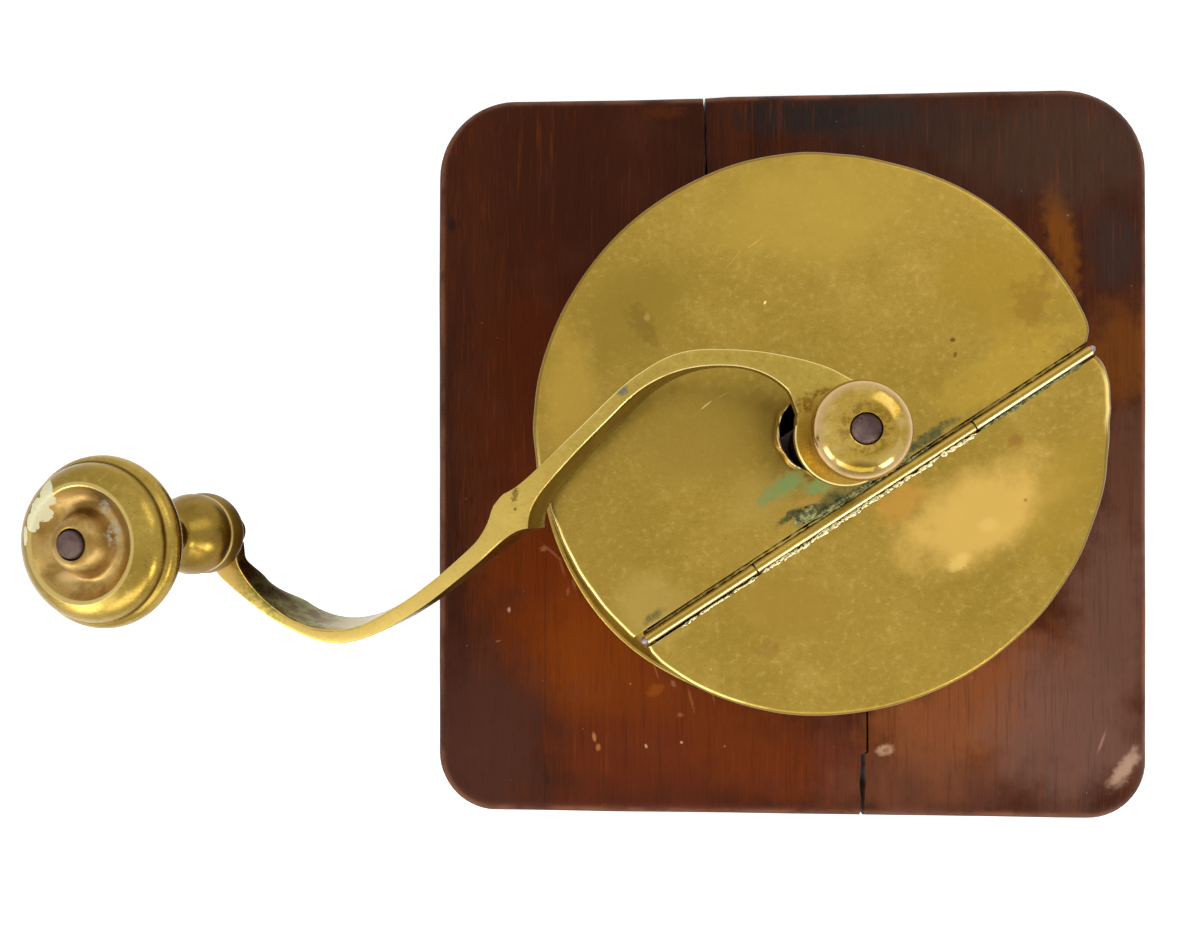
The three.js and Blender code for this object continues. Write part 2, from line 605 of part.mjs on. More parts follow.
// Where the knob stands on the bent arm, in the crank's own frame.
function knobSeat() {
  const point = new THREE.BufferGeometry();
  point.setAttribute("position", new THREE.Float32BufferAttribute([ARM.radius, 0, 0], 3));
  return new THREE.Vector3().fromBufferAttribute(bendDown(point).getAttribute("position"), 0);
}

// Half the width of the arm at a point of its centre line, with the diamond's flare.
function halfWidth(point, middle) {
  const away = Math.hypot(point.x - middle.x, point.y - middle.y);
  return point.z + DIAMOND.rise * Math.exp(-away / DIAMOND.fade);
}

function armOutline() {
  const line = new THREE.CatmullRomCurve3(ARM_LINE.map((p) => new THREE.Vector3(...p)));
  const points = line.getPoints((ARM_LINE.length - 1) * 4);
  const middle = new THREE.Vector3(...ARM_LINE.find(([x]) => x === DIAMOND.x));
  const side = (sign) =>
    points.map((p, i) => {
      const before = points[Math.max(i - 1, 0)];
      const after = points[Math.min(i + 1, points.length - 1)];
      const way = new THREE.Vector2(after.x - before.x, after.y - before.y).normalize();
      const reach = sign * halfWidth(p, middle);
      return new THREE.Vector2(p.x - way.y * reach, p.y + way.x * reach);
    });
  return new THREE.Shape([...side(1), ...side(-1).reverse()]);
}

// Raises the underside of the strip towards the knob and the eye; the top face stays level.
function taperEnds(strip) {
  const at = strip.getAttribute("position");
  const atEye = 1 - ARM.eye / ARM.height;
  for (let i = 0; i < at.count; i++) {
    const outer = THREE.MathUtils.clamp((at.getX(i) - TAPER.start) / TAPER.length, 0, 1);
    const inner = THREE.MathUtils.clamp((ROOT.end - at.getX(i)) / ROOT.length, 0, 1);
    at.setZ(i, at.getZ(i) * (1 - TAPER.loss * outer) * (1 - atEye * inner));
  }
  return strip;
}

const atKnob = (geometry) => geometry.rotateY(KNOB_LEAN * degrees).translate(...knobSeat());

function crankArm(own) {
  const { height, eye: thin, hub, pad, padDepth } = ARM;
  const strip = new THREE.ExtrudeGeometry(armOutline(), { depth: height, bevelEnabled: false });
  const boss = atKnob(rod(pad, -padDepth, 0, 24));
  const above = atKnob(rod(pad + 1.2, 0, 4, 24));
  const below = atKnob(rod(pad + 1.2, -padDepth - 5, -padDepth, 24));
  const bent = bendDown(taperEnds(strip.translate(0, 0, -height)));
  const arm = join(cut(bent, above, below), boss);
  const chamfer = 0.6;
  const eye = turned([
    [0, -thin], [hub - chamfer, -thin], [hub, chamfer - thin], [hub, -chamfer],
    [hub - chamfer, 0], [0, 0],
  ], 32);
  const half = SHAFT.hubSquare / 2 + FIT;
  const shaftHole = block([-half, -half, -thin - 1], [half, half, 1]);
  const spindleHole = atKnob(rod(SPINDLE.radius + FIT, -padDepth - 1, 1, 16));
  add(own, "crank_arm", cut(join(eye, arm), shaftHole, spindleHole), paleBrass);
}

function ballNut(own) {
  const { thread } = SHAFT;
  const bore = thread + 0.3;
  add(own, "ball_nut", turned([
    [bore, 0.3], [8.3, 0.3], [8.8, 0.8], [8.8, 1.7], [7.8, 2.4], [7, 3.2], [6.6, 5], [6.9, 7.2],
    [7.8, 9], [8.8, 10.8], [9.25, 12.6], [9.1, 13.9], [8.5, 14.9], [7.3, 15.7], [5.6, 16.2],
    [4, 16.4], [bore, 16.4], [bore, 0.3],
  ], 24), brass);
}

// Turned knob on its leaning spindle, at the end of the arm.
function knobAssembly(own) {
  const leaning = group(own, knobSeat().toArray());
  leaning.rotation.y = KNOB_LEAN * degrees;
  const under = -ARM.padDepth;
  add(leaning, "knob_spindle", turned([
    [0, under - 2.2], [4, under - 2.2], [4.6, under - 1.2], [4.6, under - FIT],
    [SPINDLE.radius, under - FIT], [SPINDLE.radius, SPINDLE.top - 0.5],
    [SPINDLE.radius - 0.5, SPINDLE.top], [0, SPINDLE.top],
  ], 20), steel);
  add(leaning, "knob_washer", ring(KNOB_BORE, 4.9, 0.3, 1.1, 24), darkBrass);
  add(leaning, "knob", turned([
    [KNOB_BORE, 1.4], [5.6, 1.4], [6.6, 2.2], [8, 4.2], [8.35, 5.6], [8.1, 6.9], [7.6, 7.6], [8.2, 9.8],
    [7.7, 11.8], [6.3, 14], [5.3, 16], [5.6, 19], [7.2, 22.5], [9.8, 26], [12.6, 29.6], [14.8, 33],
    [15.7, 36], [15.3, 37.6], [14.5, 38.3], [13.6, 40.2], [12.4, 41.2], [11.3, 41.7], [10.4, 41.8],
    [9, 40.6], [7.5, 39.6], [5.4, 39.2], [4.4, 40], [4.1, 41.2], [3.1, 43], [KNOB_BORE, 43],
    [KNOB_BORE, 1.4],
  ], 28), darkBrass);
}

function crank() {
  const own = group(part, [0, 0, HUB_TOP], CRANK_REST);
  shaft(own);
  innerBurr(own);
  crankArm(own);
  ballNut(own);
  knobAssembly(own);
}

baseBoard();
carcass();
screwsOfBase();
drawer();
topBoard();
drum();
funnel();
outerBurr();
yoke();
const lidGroup = group(part, [0, 0, 0], HINGE.turn);
topBridge(lidGroup);
lid(lidGroup);
hinge(lidGroup);
crank();

export default part;
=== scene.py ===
"""Hand-cranked coffee mill of brass and mahogany: fine shapes, materials, camera and light."""

import math
from functools import reduce

import bmesh
import bpy
from mathutils import Matrix, Vector, noise

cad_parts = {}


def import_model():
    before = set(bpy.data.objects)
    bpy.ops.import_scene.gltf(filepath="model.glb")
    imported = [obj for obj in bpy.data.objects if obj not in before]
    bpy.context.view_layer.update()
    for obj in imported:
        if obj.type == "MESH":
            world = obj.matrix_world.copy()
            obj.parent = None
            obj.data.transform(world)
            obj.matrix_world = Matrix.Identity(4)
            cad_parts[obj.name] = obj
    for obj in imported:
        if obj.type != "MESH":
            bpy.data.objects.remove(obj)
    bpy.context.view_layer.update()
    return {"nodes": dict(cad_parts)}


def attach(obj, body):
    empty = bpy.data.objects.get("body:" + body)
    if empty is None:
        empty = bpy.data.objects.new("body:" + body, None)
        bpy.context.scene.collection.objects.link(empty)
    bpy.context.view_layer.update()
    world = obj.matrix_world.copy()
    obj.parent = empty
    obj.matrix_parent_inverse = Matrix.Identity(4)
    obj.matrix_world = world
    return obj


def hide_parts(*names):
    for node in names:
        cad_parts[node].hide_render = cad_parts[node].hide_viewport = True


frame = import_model()
nodes = frame["nodes"]

MM = 0.001
CENTRE = Matrix.Identity(4)
SIDEWAYS = Matrix.Rotation(math.pi / 2, 4, "Y")

# Sizes in millimetres, the same as the CAD's, with angles in degrees.
BASE = {"width": 196, "depth": 199, "radius": 16}
BOARD = {
    "width": 189.6, "depth": 194.5, "shift": -1, "top": 114, "radii": (22.5, 21, 15.8, 15.8), "bore": 24.7,
}
SHEET = 1.2
LID = {"top": 158, "hole": 8.8, "lip": 5.5}
HOLE_CENTRE = (0.7, 2.6, 0)
HINGE = {
    "offset": 15, "turn": 33.4, "half": 58.5, "middle": 28.6, "shift": 1, "barrel": 1.3, "bore": 0.85,
    "leaf": 7.6, "sheet": 0.8, "z": 157.3,
}
DRUM = {"radius": 59.6, "top": 156.8, "foot": 67.6}
# How far the cover's two sheets reach from the shaft's axis, by the angle in degrees.
PLATE_EDGE = [
    (20, 61.2), (21.4, 61.7), (22.4, 62.7), (23.6, 63.4), (26, 63.7), (32, 63.9), (60, 64.2), (75, 64.1),
    (85, 64.5), (95, 65.1), (110, 65.5), (130, 65.6), (150, 65.4), (165, 65.2), (175, 64.8), (184, 64),
    (193, 62.7), (199, 62.2), (206, 61.8), (215, 61.3), (224, 60.8), (235, 60.3),
]
FLAP_EDGE = [
    (-133, 59.6), (-130.3, 60), (-128.6, 60.6), (-126, 60.95), (-118, 61.1), (-100, 60.8), (-80, 60.3),
    (-65, 60.2), (-50, 60.4), (-35, 61), (-20, 61.5), (-5, 62.3), (3.5, 63), (7.6, 63.75), (12.3, 64.3),
    (14.6, 64.2), (16.4, 63.9), (17.6, 63.2), (18.6, 62.2), (22, 60),
]
# The arm's upper face at the shaft, the crank's angle, and the knob's seat, lean, dish and pad.
HUB_TOP = 183
CRANK_REST = 188.5
SEAT = (-131.3118, -19.3880, 166.9009)
KNOB_LEAN = 9.5
KNOB_TOP = 207
PAD_DEPTH = 3.6
BEND = {"start": 6, "length": 16, "droop": 7.93, "heading": 12.4}
# The arm's depth by its distance, and its centre line as x, y and half the width.
ARM_DEPTH = [(0, 3.4), (20, 3.4), (33, 7.5), (46, 12), (124, 12), (131, 7), (135, 3.6), (140, 3.6)]
ARM_LINE = [
    (1, -4, 8), (5.2, -10.3, 5.1), (8.2, -13.3, 3.3), (16, -17.4, 1.8), (29.2, -19.5, 1.8),
    (38.2, -17, 1.5), (48.8, -10.2, 1.5), (62.8, 0, 1.7), (69.1, 5.2, 1.6), (76.8, 11.9, 1.6),
    (94.4, 21.9, 1.6), (107, 26, 1.5), (114.3, 25.5, 1.4), (121.2, 22.3, 1.1), (126.5, 18.1, 1.25),
    (129.9, 14.3, 1.55), (132.7, 10.5, 2.2), (134.4, 7.2, 2.9), (134.6, 3, 3.2),
]
DIAMOND = {"x": 69.1, "y": 5.2, "rise": 3.4, "fade": 3.6, "blunt": 2.1}


def clamp(value):
    return min(max(value, 0.0), 1.0)


def smooth(value):
    value = clamp(value)
    return value * value * (3 - 2 * value)


def follow(table, x):
    """The value at x of a smooth line through a table of x and value."""
    for (low, a), (high, b) in zip(table, table[1:]):
        if x <= high:
            return a + (b - a) * smooth((x - low) / (high - low))
    return table[-1][1]


def rumple(point, size, seed=0):
    """Smooth noise from -1 to 1 whose bumps are about size millimetres wide."""
    return noise.noise(Vector(point) / size + Vector((seed * 17.3, seed * 5.1, seed * 9.7)))


def spline(points, steps):
    """Smooth line through points of any dimension; a point that ends in None is a corner."""
    corner = [p[-1] is None for p in points]
    plain = [Vector(p[:-1]) if c else Vector(p) for p, c in zip(points, corner)]
    line = []
    for i in range(len(plain) - 1):
        b, c = plain[i], plain[i + 1]
        a = 2 * b - c if i == 0 or corner[i] else plain[i - 1]
        d = 2 * c - b if i + 2 == len(plain) or corner[i + 1] else plain[i + 2]
        before, here, after = ((q - p).length ** 0.5 or 1 for p, q in ((a, b), (b, c), (c, d)))
        start = here * ((b - a) / before - (c - a) / (before + here) + (c - b) / here)
        end = here * ((c - b) / here - (d - b) / (here + after) + (d - c) / after)
        for k in range(steps):
            t = k / steps
            line.append(
                b + start * t + (3 * (c - b) - 2 * start - end) * t * t
                + (2 * (b - c) + start + end) * t ** 3
            )
    return [tuple(p) for p in line + [plain[-1]]]


def lofted(rings, closed=False):
    """Points and faces of a skin over equal rings, with a face at each end or closed into a loop."""
    count = len(rings[0])
    points = [p for ring in rings for p in ring]
    spans = len(rings) if closed else len(rings) - 1
    faces = []
    for k in range(spans):
        low, high = k * count, (k + 1) % len(rings) * count
        for i in range(count):
            j = (i + 1) % count
            faces.append((low + i, low + j, high + j, high + i))
    if not closed:
        faces.append(tuple(range(count))[::-1])
        faces.append(tuple(range(len(points) - count, len(points))))
    return points, faces


def turned(profile, segments):
    """Points and faces of a profile turned about Z; it runs from the bottom up on the outside."""
    rings = []
    for r, z in profile:
        reach = max(r, 0.02)
        angles = [2 * math.pi * i / segments for i in range(segments)]
        rings.append([(reach * math.cos(a), reach * math.sin(a), z) for a in angles])
    return lofted(rings, closed=profile[0][0] > 0.05)


def board(width, depth, radii, edge):
    """Rounded board; radii run from the back right corner anticlockwise, edge is inset and height."""
    signs = [(1, 1), (-1, 1), (-1, -1), (1, -1)]
    steps, straight = 14, 20
    rings = []
    for inset, z in edge:
        corners = []
        for n, (sx, sy) in enumerate(signs):
            turns = [math.radians(90 * (n + i / steps)) for i in range(steps + 1)]
            reach = radii[n] - inset
            at = Vector((sx * (width / 2 - radii[n]), sy * (depth / 2 - radii[n]), z))
            corners.append([at + reach * Vector((math.cos(a), math.sin(a), 0)) for a in turns])
        ring = []
        for n, corner in enumerate(corners):
            start, end = corner[-1], corners[(n + 1) % 4][0]
            ring += corner + [start.lerp(end, i / straight) for i in range(1, straight)]
        rings.append([tuple(p) for p in ring])
    return lofted(rings)


def placed(name, data):
    """A new object in the scene."""
    made = bpy.data.objects.new(name, data)
    bpy.context.scene.collection.objects.link(made)
    return made


def mesh_object(name, points, faces, place=CENTRE):
    mesh = bpy.data.meshes.new(name)
    mesh.from_pydata([(place @ Vector(p)) * MM for p in points], [], faces)
    made = placed(name, mesh)
    shell = bmesh.new()
    shell.from_mesh(mesh)
    bmesh.ops.remove_doubles(shell, verts=shell.verts, dist=1e-7)
    bmesh.ops.recalc_face_normals(shell, faces=shell.faces)
    shell.to_mesh(mesh)
    shell.free()
    return made


def round_piece(name, profile, segments, place=CENTRE):
    return mesh_object(name, *turned(profile, segments), place)


def cylinder(name, radius, low, high, segments, place=CENTRE):
    return round_piece(name, [(0, low), (radius, low), (radius, high), (0, high)], segments, place)


def prism(name, outline, low, high, place=CENTRE):
    return mesh_object(name, *lofted([[(x, y, z) for x, y in outline] for z in (low, high)]), place)


def rectangle(left, front, right, back):
    return [(left, front), (right, front), (right, back), (left, back)]


def combine(made, others, operation):
    """Joins other objects to one, or cuts them out of it, and removes them."""
    for other in others:
        step = made.modifiers.new("combine", "BOOLEAN")
        step.operation = operation
        step.solver = "EXACT"
        step.object = other
    bpy.context.view_layer.update()
    shaped = bpy.data.meshes.new_from_object(made.evaluated_get(bpy.context.evaluated_depsgraph_get()))
    made.modifiers.clear()
    made.data = shaped
    for other in others:
        bpy.data.objects.remove(other)


def bevelled(made, width, segments, angle=40):
    step = made.modifiers.new("bevel", "BEVEL")
    step.width = width * MM
    step.segments = segments
    step.limit_method = "ANGLE"
    step.angle_limit = math.radians(angle)


def finished(made, material, body, slot, *replaced, angle=32):
    """Gives a piece its material and its body, and hides the nodes that it stands for."""
    made.data.materials.clear()
    made.data.materials.append(material)
    made.data.shade_smooth()
    made.data.set_sharp_from_angle(angle=math.radians(angle))
    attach(made, body)
    if replaced:
        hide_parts(*replaced)


def turn(degrees, at=(0, 0, 0)):
    return Matrix.Translation(Vector(at)) @ Matrix.Rotation(math.radians(degrees), 4, "Z")


LID_PLACE = turn(HINGE["turn"])
HINGE_PLACE = LID_PLACE @ Matrix.Translation((HINGE["shift"], -HINGE["offset"], HINGE["z"]))
CRANK_PLACE = turn(CRANK_REST, (0, 0, HUB_TOP))
KNOB_PLACE = turn(CRANK_REST, SEAT) @ Matrix.Rotation(math.radians(KNOB_LEAN), 4, "Y")


def rgb(red, green, blue):
    """A colour as seen on the screen, from 0 to 255, as the linear colour that a shader takes."""
    linear = [c / 12.92 if c <= 0.04045 else ((c + 0.055) / 1.055) ** 2.4
              for c in (red / 255, green / 255, blue / 255)]
    return (*linear, 1)


class Nodes:
    """A node tree whose nodes are written as calls."""

    def __init__(self, tree):
        self.tree = tree

    def put(self, socket, value):
        """Links or sets an input; a colour is given as seen on the screen, from 0 to 255."""
        if isinstance(value, bpy.types.NodeSocket):
            self.tree.links.new(value, socket)
        else:
            socket.default_value = rgb(*value) if socket.type == "RGBA" else value

    def node(self, kind, inputs=(), **settings):
        """A new node with its settings and inputs, which are a dictionary or a row from the first on."""
        made = self.tree.nodes.new(kind)
        for name, value in settings.items():
            setattr(made, name, value)
        for key, value in inputs.items() if isinstance(inputs, dict) else enumerate(inputs):
            self.put(made.inputs[key], value)
        return made

    def math(self, operation, *values):
        return self.node("ShaderNodeMath", values, operation=operation).outputs[0]

    def plus(self, a, b):
        return self.math("ADD", a, b)

    def minus(self, a, b):
        return self.math("SUBTRACT", a, b)

    def product(self, *values):
        return reduce(lambda a, b: self.math("MULTIPLY", a, b), values)

    def most(self, *values):
        return reduce(lambda a, b: self.math("MAXIMUM", a, b), values)

    def seen(self):
        """1 for what the camera sees directly, in metal or through glass, and 0 for light on the object."""
        rays = self.node("ShaderNodeLightPath").outputs
        return self.most(rays["Is Camera Ray"], rays["Is Glossy Ray"], rays["Is Transmission Ray"])


class Shader(Nodes):
    """A material that is mixed up layer by layer; lengths in it are millimetres."""

    def __init__(self, name):
        self.material = bpy.data.materials.new(name)
        self.material.use_nodes = True
        super().__init__(self.material.node_tree)
        self.surface = self.tree.nodes["Principled BSDF"]
        place = self.node("ShaderNodeTexCoord").outputs["Object"]
        scaled = self.node("ShaderNodeVectorMath", {0: place, "Scale": 1 / MM}, operation="SCALE")
        self.place = scaled.outputs[0]
        self.colour = None

    def done(self, **sockets):
        """Gives the surface its colour and other values, and returns the material."""
        for name, value in {"Base_Color": self.colour, **sockets}.items():
            self.put(self.surface.inputs[name.replace("_", " ")], value)
        return self.material

    def mapped(self, kind, location=(0, 0, 0), rotation=(0, 0, 0), scale=(1, 1, 1)):
        """The place in another frame."""
        values = {"Vector": self.place, "Location": location, "Rotation": rotation, "Scale": scale}
        return self.node("ShaderNodeMapping", values, vector_type=kind).outputs[0]

    def stretched(self, stretch, turn=0.0):
        """The place, turned about Z and then scaled along each axis."""
        return self.mapped("POINT", rotation=(0, 0, math.radians(turn)), scale=stretch)

    def axes(self, value):
        return self.node("ShaderNodeSeparateXYZ", [value]).outputs[:]

    def local(self, place):
        """The place in the frame of a piece, as its three numbers."""
        return self.axes(self.mapped("TEXTURE", place.to_translation(), place.to_euler()))

    def radius(self, x, y):
        return self.math("SQRT", self.plus(self.product(x, x), self.product(y, y)))

    def up(self):
        """How far the surface faces up, from -1 to 1."""
        return self.axes(self.node("ShaderNodeNewGeometry").outputs["Normal"])[2]

    def noise(self, size, detail, roughness=0.5, where=None, distortion=0.0):
        """Noise from 0 to 1 whose bumps are about size millimetres wide."""
        return self.node("ShaderNodeTexNoise", {
            "Vector": where or self.place, "Scale": 1 / size, "Detail": detail,
            "Roughness": roughness, "Distortion": distortion,
        }).outputs[0]

    def ramp(self, value, low, high, start=0.0, end=1.0):
        """Goes smoothly from start at low to end at high, which may be the smaller number."""
        numbers = value, low, high, start, end
        return self.node("ShaderNodeMapRange", numbers, interpolation_type="SMOOTHSTEP").outputs[0]

    def patches(self, size, detail, roughness, low, high):
        """1 where noise is beyond high and 0 where it is short of low."""
        return self.ramp(self.noise(size, detail, roughness), low, high)

    def band(self, value, low, high, soft):
        """1 between two numbers and 0 outside them."""
        rise = self.ramp(value, low - soft, low + soft)
        return self.product(rise, self.ramp(value, high + soft, high - soft))

    def mix(self, share, a, b):
        values = {0: share, 6: a, 7: b}
        return self.node("ShaderNodeMix", values, data_type="RGBA", blend_type="MIX").outputs[2]

    def tint(self, colour, *shares):
        """Lays a colour over the material's, as far as the product of the shares."""
        self.colour = self.mix(self.product(*shares), self.colour, colour)

    def spots(self, size, reach, share):
        """Round spots: one in each cell of that size, of that radius, in that share of the cells."""
        cells = self.node("ShaderNodeTexVoronoi", {"Vector": self.place, "Scale": 1 / size}).outputs
        near = self.ramp(cells["Distance"], reach / size, 0.5 * reach / size)
        parts = self.node("ShaderNodeSeparateColor", [cells["Color"]]).outputs
        return self.product(near, self.math("LESS_THAN", parts[0], share))

    def scratches(self, length, width, turn, amount):
        """Fine straight lines at an angle about Z; amount is how many, from 0 to 1."""
        lines = self.noise(1, 2, 0.5, self.stretched((1 / length, 1 / width, 1 / length), turn))
        broken = self.patches(length * 0.6, 2, 0.5, 0.45, 0.62)
        return self.product(self.ramp(lines, 0.74 - 0.1 * amount, 0.8 - 0.1 * amount), broken)

    def blob(self, centre, radii, ragged, size, turn=0.0):
        """A soft spot: 1 in its middle and 0 outside, with an edge ragged by noise of that size."""
        inside = self.mapped("TEXTURE", centre, (0, 0, math.radians(turn)), radii)
        away = self.node("ShaderNodeVectorMath", [inside], operation="LENGTH").outputs["Value"]
        if ragged:
            edge = self.minus(self.noise(size, 4, 0.6), 0.5)
            away = self.plus(away, self.product(edge, ragged * 2))
        return self.ramp(away, 1.0, 0.35)

    def blobs(self, z, high, *rows):
        """Several soft spots at one height; a row is x, y, two radii, raggedness, its size and turn."""
        return self.most(*(self.blob((x, y, z), (wide, deep, high), *edge)
                           for x, y, wide, deep, *edge in rows))

    def stains_and_sheen(self, z, rows):
        """Lays soft blobs of tint over the colour, from a table such as WOOD_STAINS_AND_SHEEN, whose rows
        are mostly marks and in places painted sheen and highlight.
        """
        for x, y, wide, deep, angle, ragged, strength, tint in rows:
            size = max(min(wide, deep) * 0.5, 0.4)
            self.tint(tint, self.blob((x, y, z), (wide, deep, 40), ragged, size, angle), strength)

    def height(self, value, distance, base=None):
        """Bump of a height map in millimetres, over another bump where one is given."""
        values = {"Strength": 1.0, "Distance": distance * MM, "Height": value}
        if base is not None:
            values["Normal"] = base
        return self.node("ShaderNodeBump", values).outputs[0]


def aged_brass(name, shade, tone, light, rough=(0.24, 0.38), marks=1.0):
    """Old handled brass: faint clouds, fine mottling, scratches and pits."""
    s = Shader(name)
    patch = s.noise(9, 5, 0.6)
    mottle = s.noise(1.4, 4, 0.65)
    grain = s.noise(0.45, 3, 0.6)
    s.colour = s.mix(s.patches(34, 4, 0.5, 0.36, 0.64), shade, tone)
    s.tint(light, s.ramp(patch, 0.48, 0.72), 0.5)
    s.tint(shade, s.ramp(patch, 0.46, 0.3), 0.35)
    s.tint((122, 94, 40), s.ramp(mottle, 0.5, 0.7), 0.16)
    s.tint((226, 196, 120), s.ramp(mottle, 0.47, 0.3), 0.2)
    s.tint((116, 86, 40), s.ramp(grain, 0.5, 0.66), 0.2)
    s.tint(light, s.scratches(16, 0.07, -58, marks), 0.25 * marks)
    pits = s.most(s.spots(8, 0.26, 0.25 * marks), s.spots(2.6, 0.12, 0.25 * marks))
    s.tint((92, 66, 30), pits, 0.65)
    s.rough = s.ramp(s.plus(s.product(patch, 0.6), s.product(grain, 0.4)), 0.35, 0.65, *rough)
    bump = s.height(s.plus(s.product(grain, 0.5), s.product(pits, -1)), 0.02)
    s.done(Metallic=1.0, Roughness=s.rough, Normal=s.height(s.noise(22, 2), 0.25, bump))
    return s


def steel(name, dark, light):
    """Steel gone dark, with specks of rust."""
    s = Shader(name)
    grain = s.noise(0.5, 4, 0.65)
    s.colour = s.mix(s.patches(5, 5, 0.65, 0.35, 0.68), dark, light)
    s.tint((52, 34, 26), s.spots(1.6, 0.35, 0.5), 0.7)
    return s.done(Metallic=0.85, Roughness=s.ramp(grain, 0.3, 0.7, 0.4, 0.62), Normal=s.height(grain, 0.06))


def cast_iron():
    """Rough grey iron with patches of rust."""
    s = Shader("burr_iron")
    grain = s.noise(0.6, 4, 0.7)
    s.colour = s.mix(s.patches(6, 4, 0.5, 0.3, 0.7), (52, 48, 46), (92, 86, 82))
    s.tint((96, 58, 36), s.spots(4, 1.1, 0.35), 0.6)
    return s.done(Metallic=0.7, Roughness=s.ramp(grain, 0.3, 0.7, 0.5, 0.75), Normal=s.height(grain, 0.12))


def wood(name, axis, dark, tone, light, rough=(0.36, 0.52), pores=0.5):
    """Wood whose grain runs along axis 0, 1 or 2: soft bands, fine lines and short dark pores."""
    s = Shader(name)

    def along(across, length):
        return s.stretched(tuple(1 / length if i == axis else 1 / across for i in range(3)))

    band = s.noise(1, 4, 0.55, along(9, 120), 0.3)
    line = s.noise(1, 4, 0.62, along(1.3, 34), 0.2)
    hair = s.noise(1, 3, 0.6, along(0.35, 9))
    pore = s.ramp(s.noise(1, 2, 0.5, along(0.22, 5)), 0.6, 0.7)
    s.colour = s.mix(s.ramp(band, 0.36, 0.64), dark, tone)
    s.tint(light, s.ramp(line, 0.5, 0.72), 0.5)
    s.tint(dark, s.ramp(line, 0.47, 0.3), 0.45)
    s.tint(dark, s.ramp(hair, 0.52, 0.7), 0.3)
    s.tint((34, 14, 8), pore, pores)
    s.done(
        Roughness=s.ramp(s.noise(12, 4), 0.3, 0.7, *rough), Specular_IOR_Level=0.06,
        Normal=s.height(s.minus(s.product(hair, 0.5), pore), 0.04),
    )
    s.streaks = s.plus(s.product(line, 0.6), s.product(hair, 0.4))
    return s


# Stains of the top board, the cover and the arm, and in some rows painted sheen and painted highlight: x,
# y, two radii, turn, raggedness, strength and tint.
WOOD_STAINS_AND_SHEEN = [
    (-56, 72, 46, 44, 0, 0.4, 0.6, (68, 29, 12)), (-66, 10, 26, 56, 0, 0.4, 0.7, (88, 33, 2)),
    (-64, -34, 26, 40, 0, 0.5, 0.75, (118, 48, 2)), (-48, -54, 28, 28, 20, 0.5, 0.85, (134, 60, 4)),
    (-24, -74, 40, 18, -18, 0.5, 0.75, (124, 54, 10)), (2, -84, 28, 14, 0, 0.5, 0.65, (110, 46, 14)),
    (-44, -80, 30, 15, -8, 0.4, 0.8, (108, 44, 14)), (-40, -92, 44, 8, 0, 0.5, 0.55, (96, 40, 18)),
    (12, -80, 9, 20, 0, 0.4, 0.5, (104, 52, 34)), (46, -68, 40, 22, 38, 0.5, 0.85, (144, 82, 44)),
    # The pale purple-grey rows at x 72, 83 and 88 are painted sheen of reflected light, not stains.
    (34, -88, 34, 12, 0, 0.5, 0.6, (112, 66, 46)), (72, -72, 28, 28, 0, 0.5, 0.8, (122, 84, 70)),
    (83, -40, 15, 38, 0, 0.5, 0.8, (116, 79, 64)), (88, -6, 11, 28, 0, 0.5, 0.7, (106, 68, 50)),
    (87, 27, 14, 18, 0, 0.5, 0.8, (122, 66, 16)), (70.5, 58, 5, 21, 12, 0.5, 0.9, (132, 74, 16)),
    (66, 80, 40, 20, 0, 0.5, 0.8, (76, 52, 40)), (84, 54, 9.5, 15, 4, 0.4, 0.85, (62, 43, 36)),
    (28, 88, 34, 11, 0, 0.5, 0.7, (66, 45, 37)), (3, 90, 26, 6.5, 0, 0.6, 0.8, (42, 38, 36)),
    (24, 90, 12, 6, 0, 0.6, 0.6, (52, 48, 42)), (-34, 92, 8, 2.5, 0, 0.6, 0.6, (98, 44, 16)),
]
WOOD_MARKS = [
    (-91.6, 62.5, 1.6, 2.6, 0, 0.5, 0.8, (38, 24, 20)),
    (-36.5, -63.4, 3.2, 2.2, 20, 0.4, 0.75, (150, 78, 18)),
    (24.6, -78.8, 3.1, 1.9, 10, 0.5, 0.95, (192, 148, 116)),
    (24.8, -78.9, 1.6, 0.9, 10, 0.5, 0.7, (140, 94, 66)),
    (-52.9, -76.2, 0.7, 1.7, 10, 0.5, 0.9, (190, 122, 70)),
    (-51.8, -79, 0.9, 1.3, 0, 0.5, 0.9, (186, 112, 58)),
    (-76, -42, 0.6, 0.9, 0, 0.6, 0.9, (206, 146, 116)),
    (-79, -50.5, 1, 0.35, 10, 0.6, 0.7, (168, 108, 84)),
    (-38.9, -78.5, 0.5, 0.8, 30, 0.3, 0.9, (214, 170, 130)),
    (-29.4, -77.4, 0.5, 0.5, 0, 0.3, 0.9, (214, 170, 130)),
    (-66.6, -25.4, 1.3, 1, 20, 0.9, 0.45, (186, 122, 88)),
    (-64, -26.6, 4.6, 0.5, -42, 0.9, 0.4, (178, 112, 80)),
    (-61.6, -30.4, 0.5, 3.6, 18, 0.9, 0.4, (170, 100, 66)),
    (-58.4, -34.5, 0.5, 2.4, 14, 0.9, 0.6, (170, 104, 70)),
    (-60, -37, 0.6, 1.4, 0, 0.9, 0.5, (170, 104, 70)),
    (-36.4, -57.8, 0.35, 3.4, 18, 0.8, 0.5, (176, 112, 74)),
    (-31.6, -61.6, 0.8, 1.4, 20, 0.8, 0.55, (180, 118, 84)),
    (-26.8, -66, 0.5, 4.4, 14, 0.9, 0.5, (168, 102, 66)),
    (-29.8, -70, 1.1, 0.8, 0, 0.8, 0.5, (178, 112, 76)),
    (-21, -64.4, 0.5, 3.2, 10, 0.9, 0.4, (168, 100, 60)),
    (81, -76, 0.5, 4, -20, 0.6, 0.6, (176, 130, 110)),
]
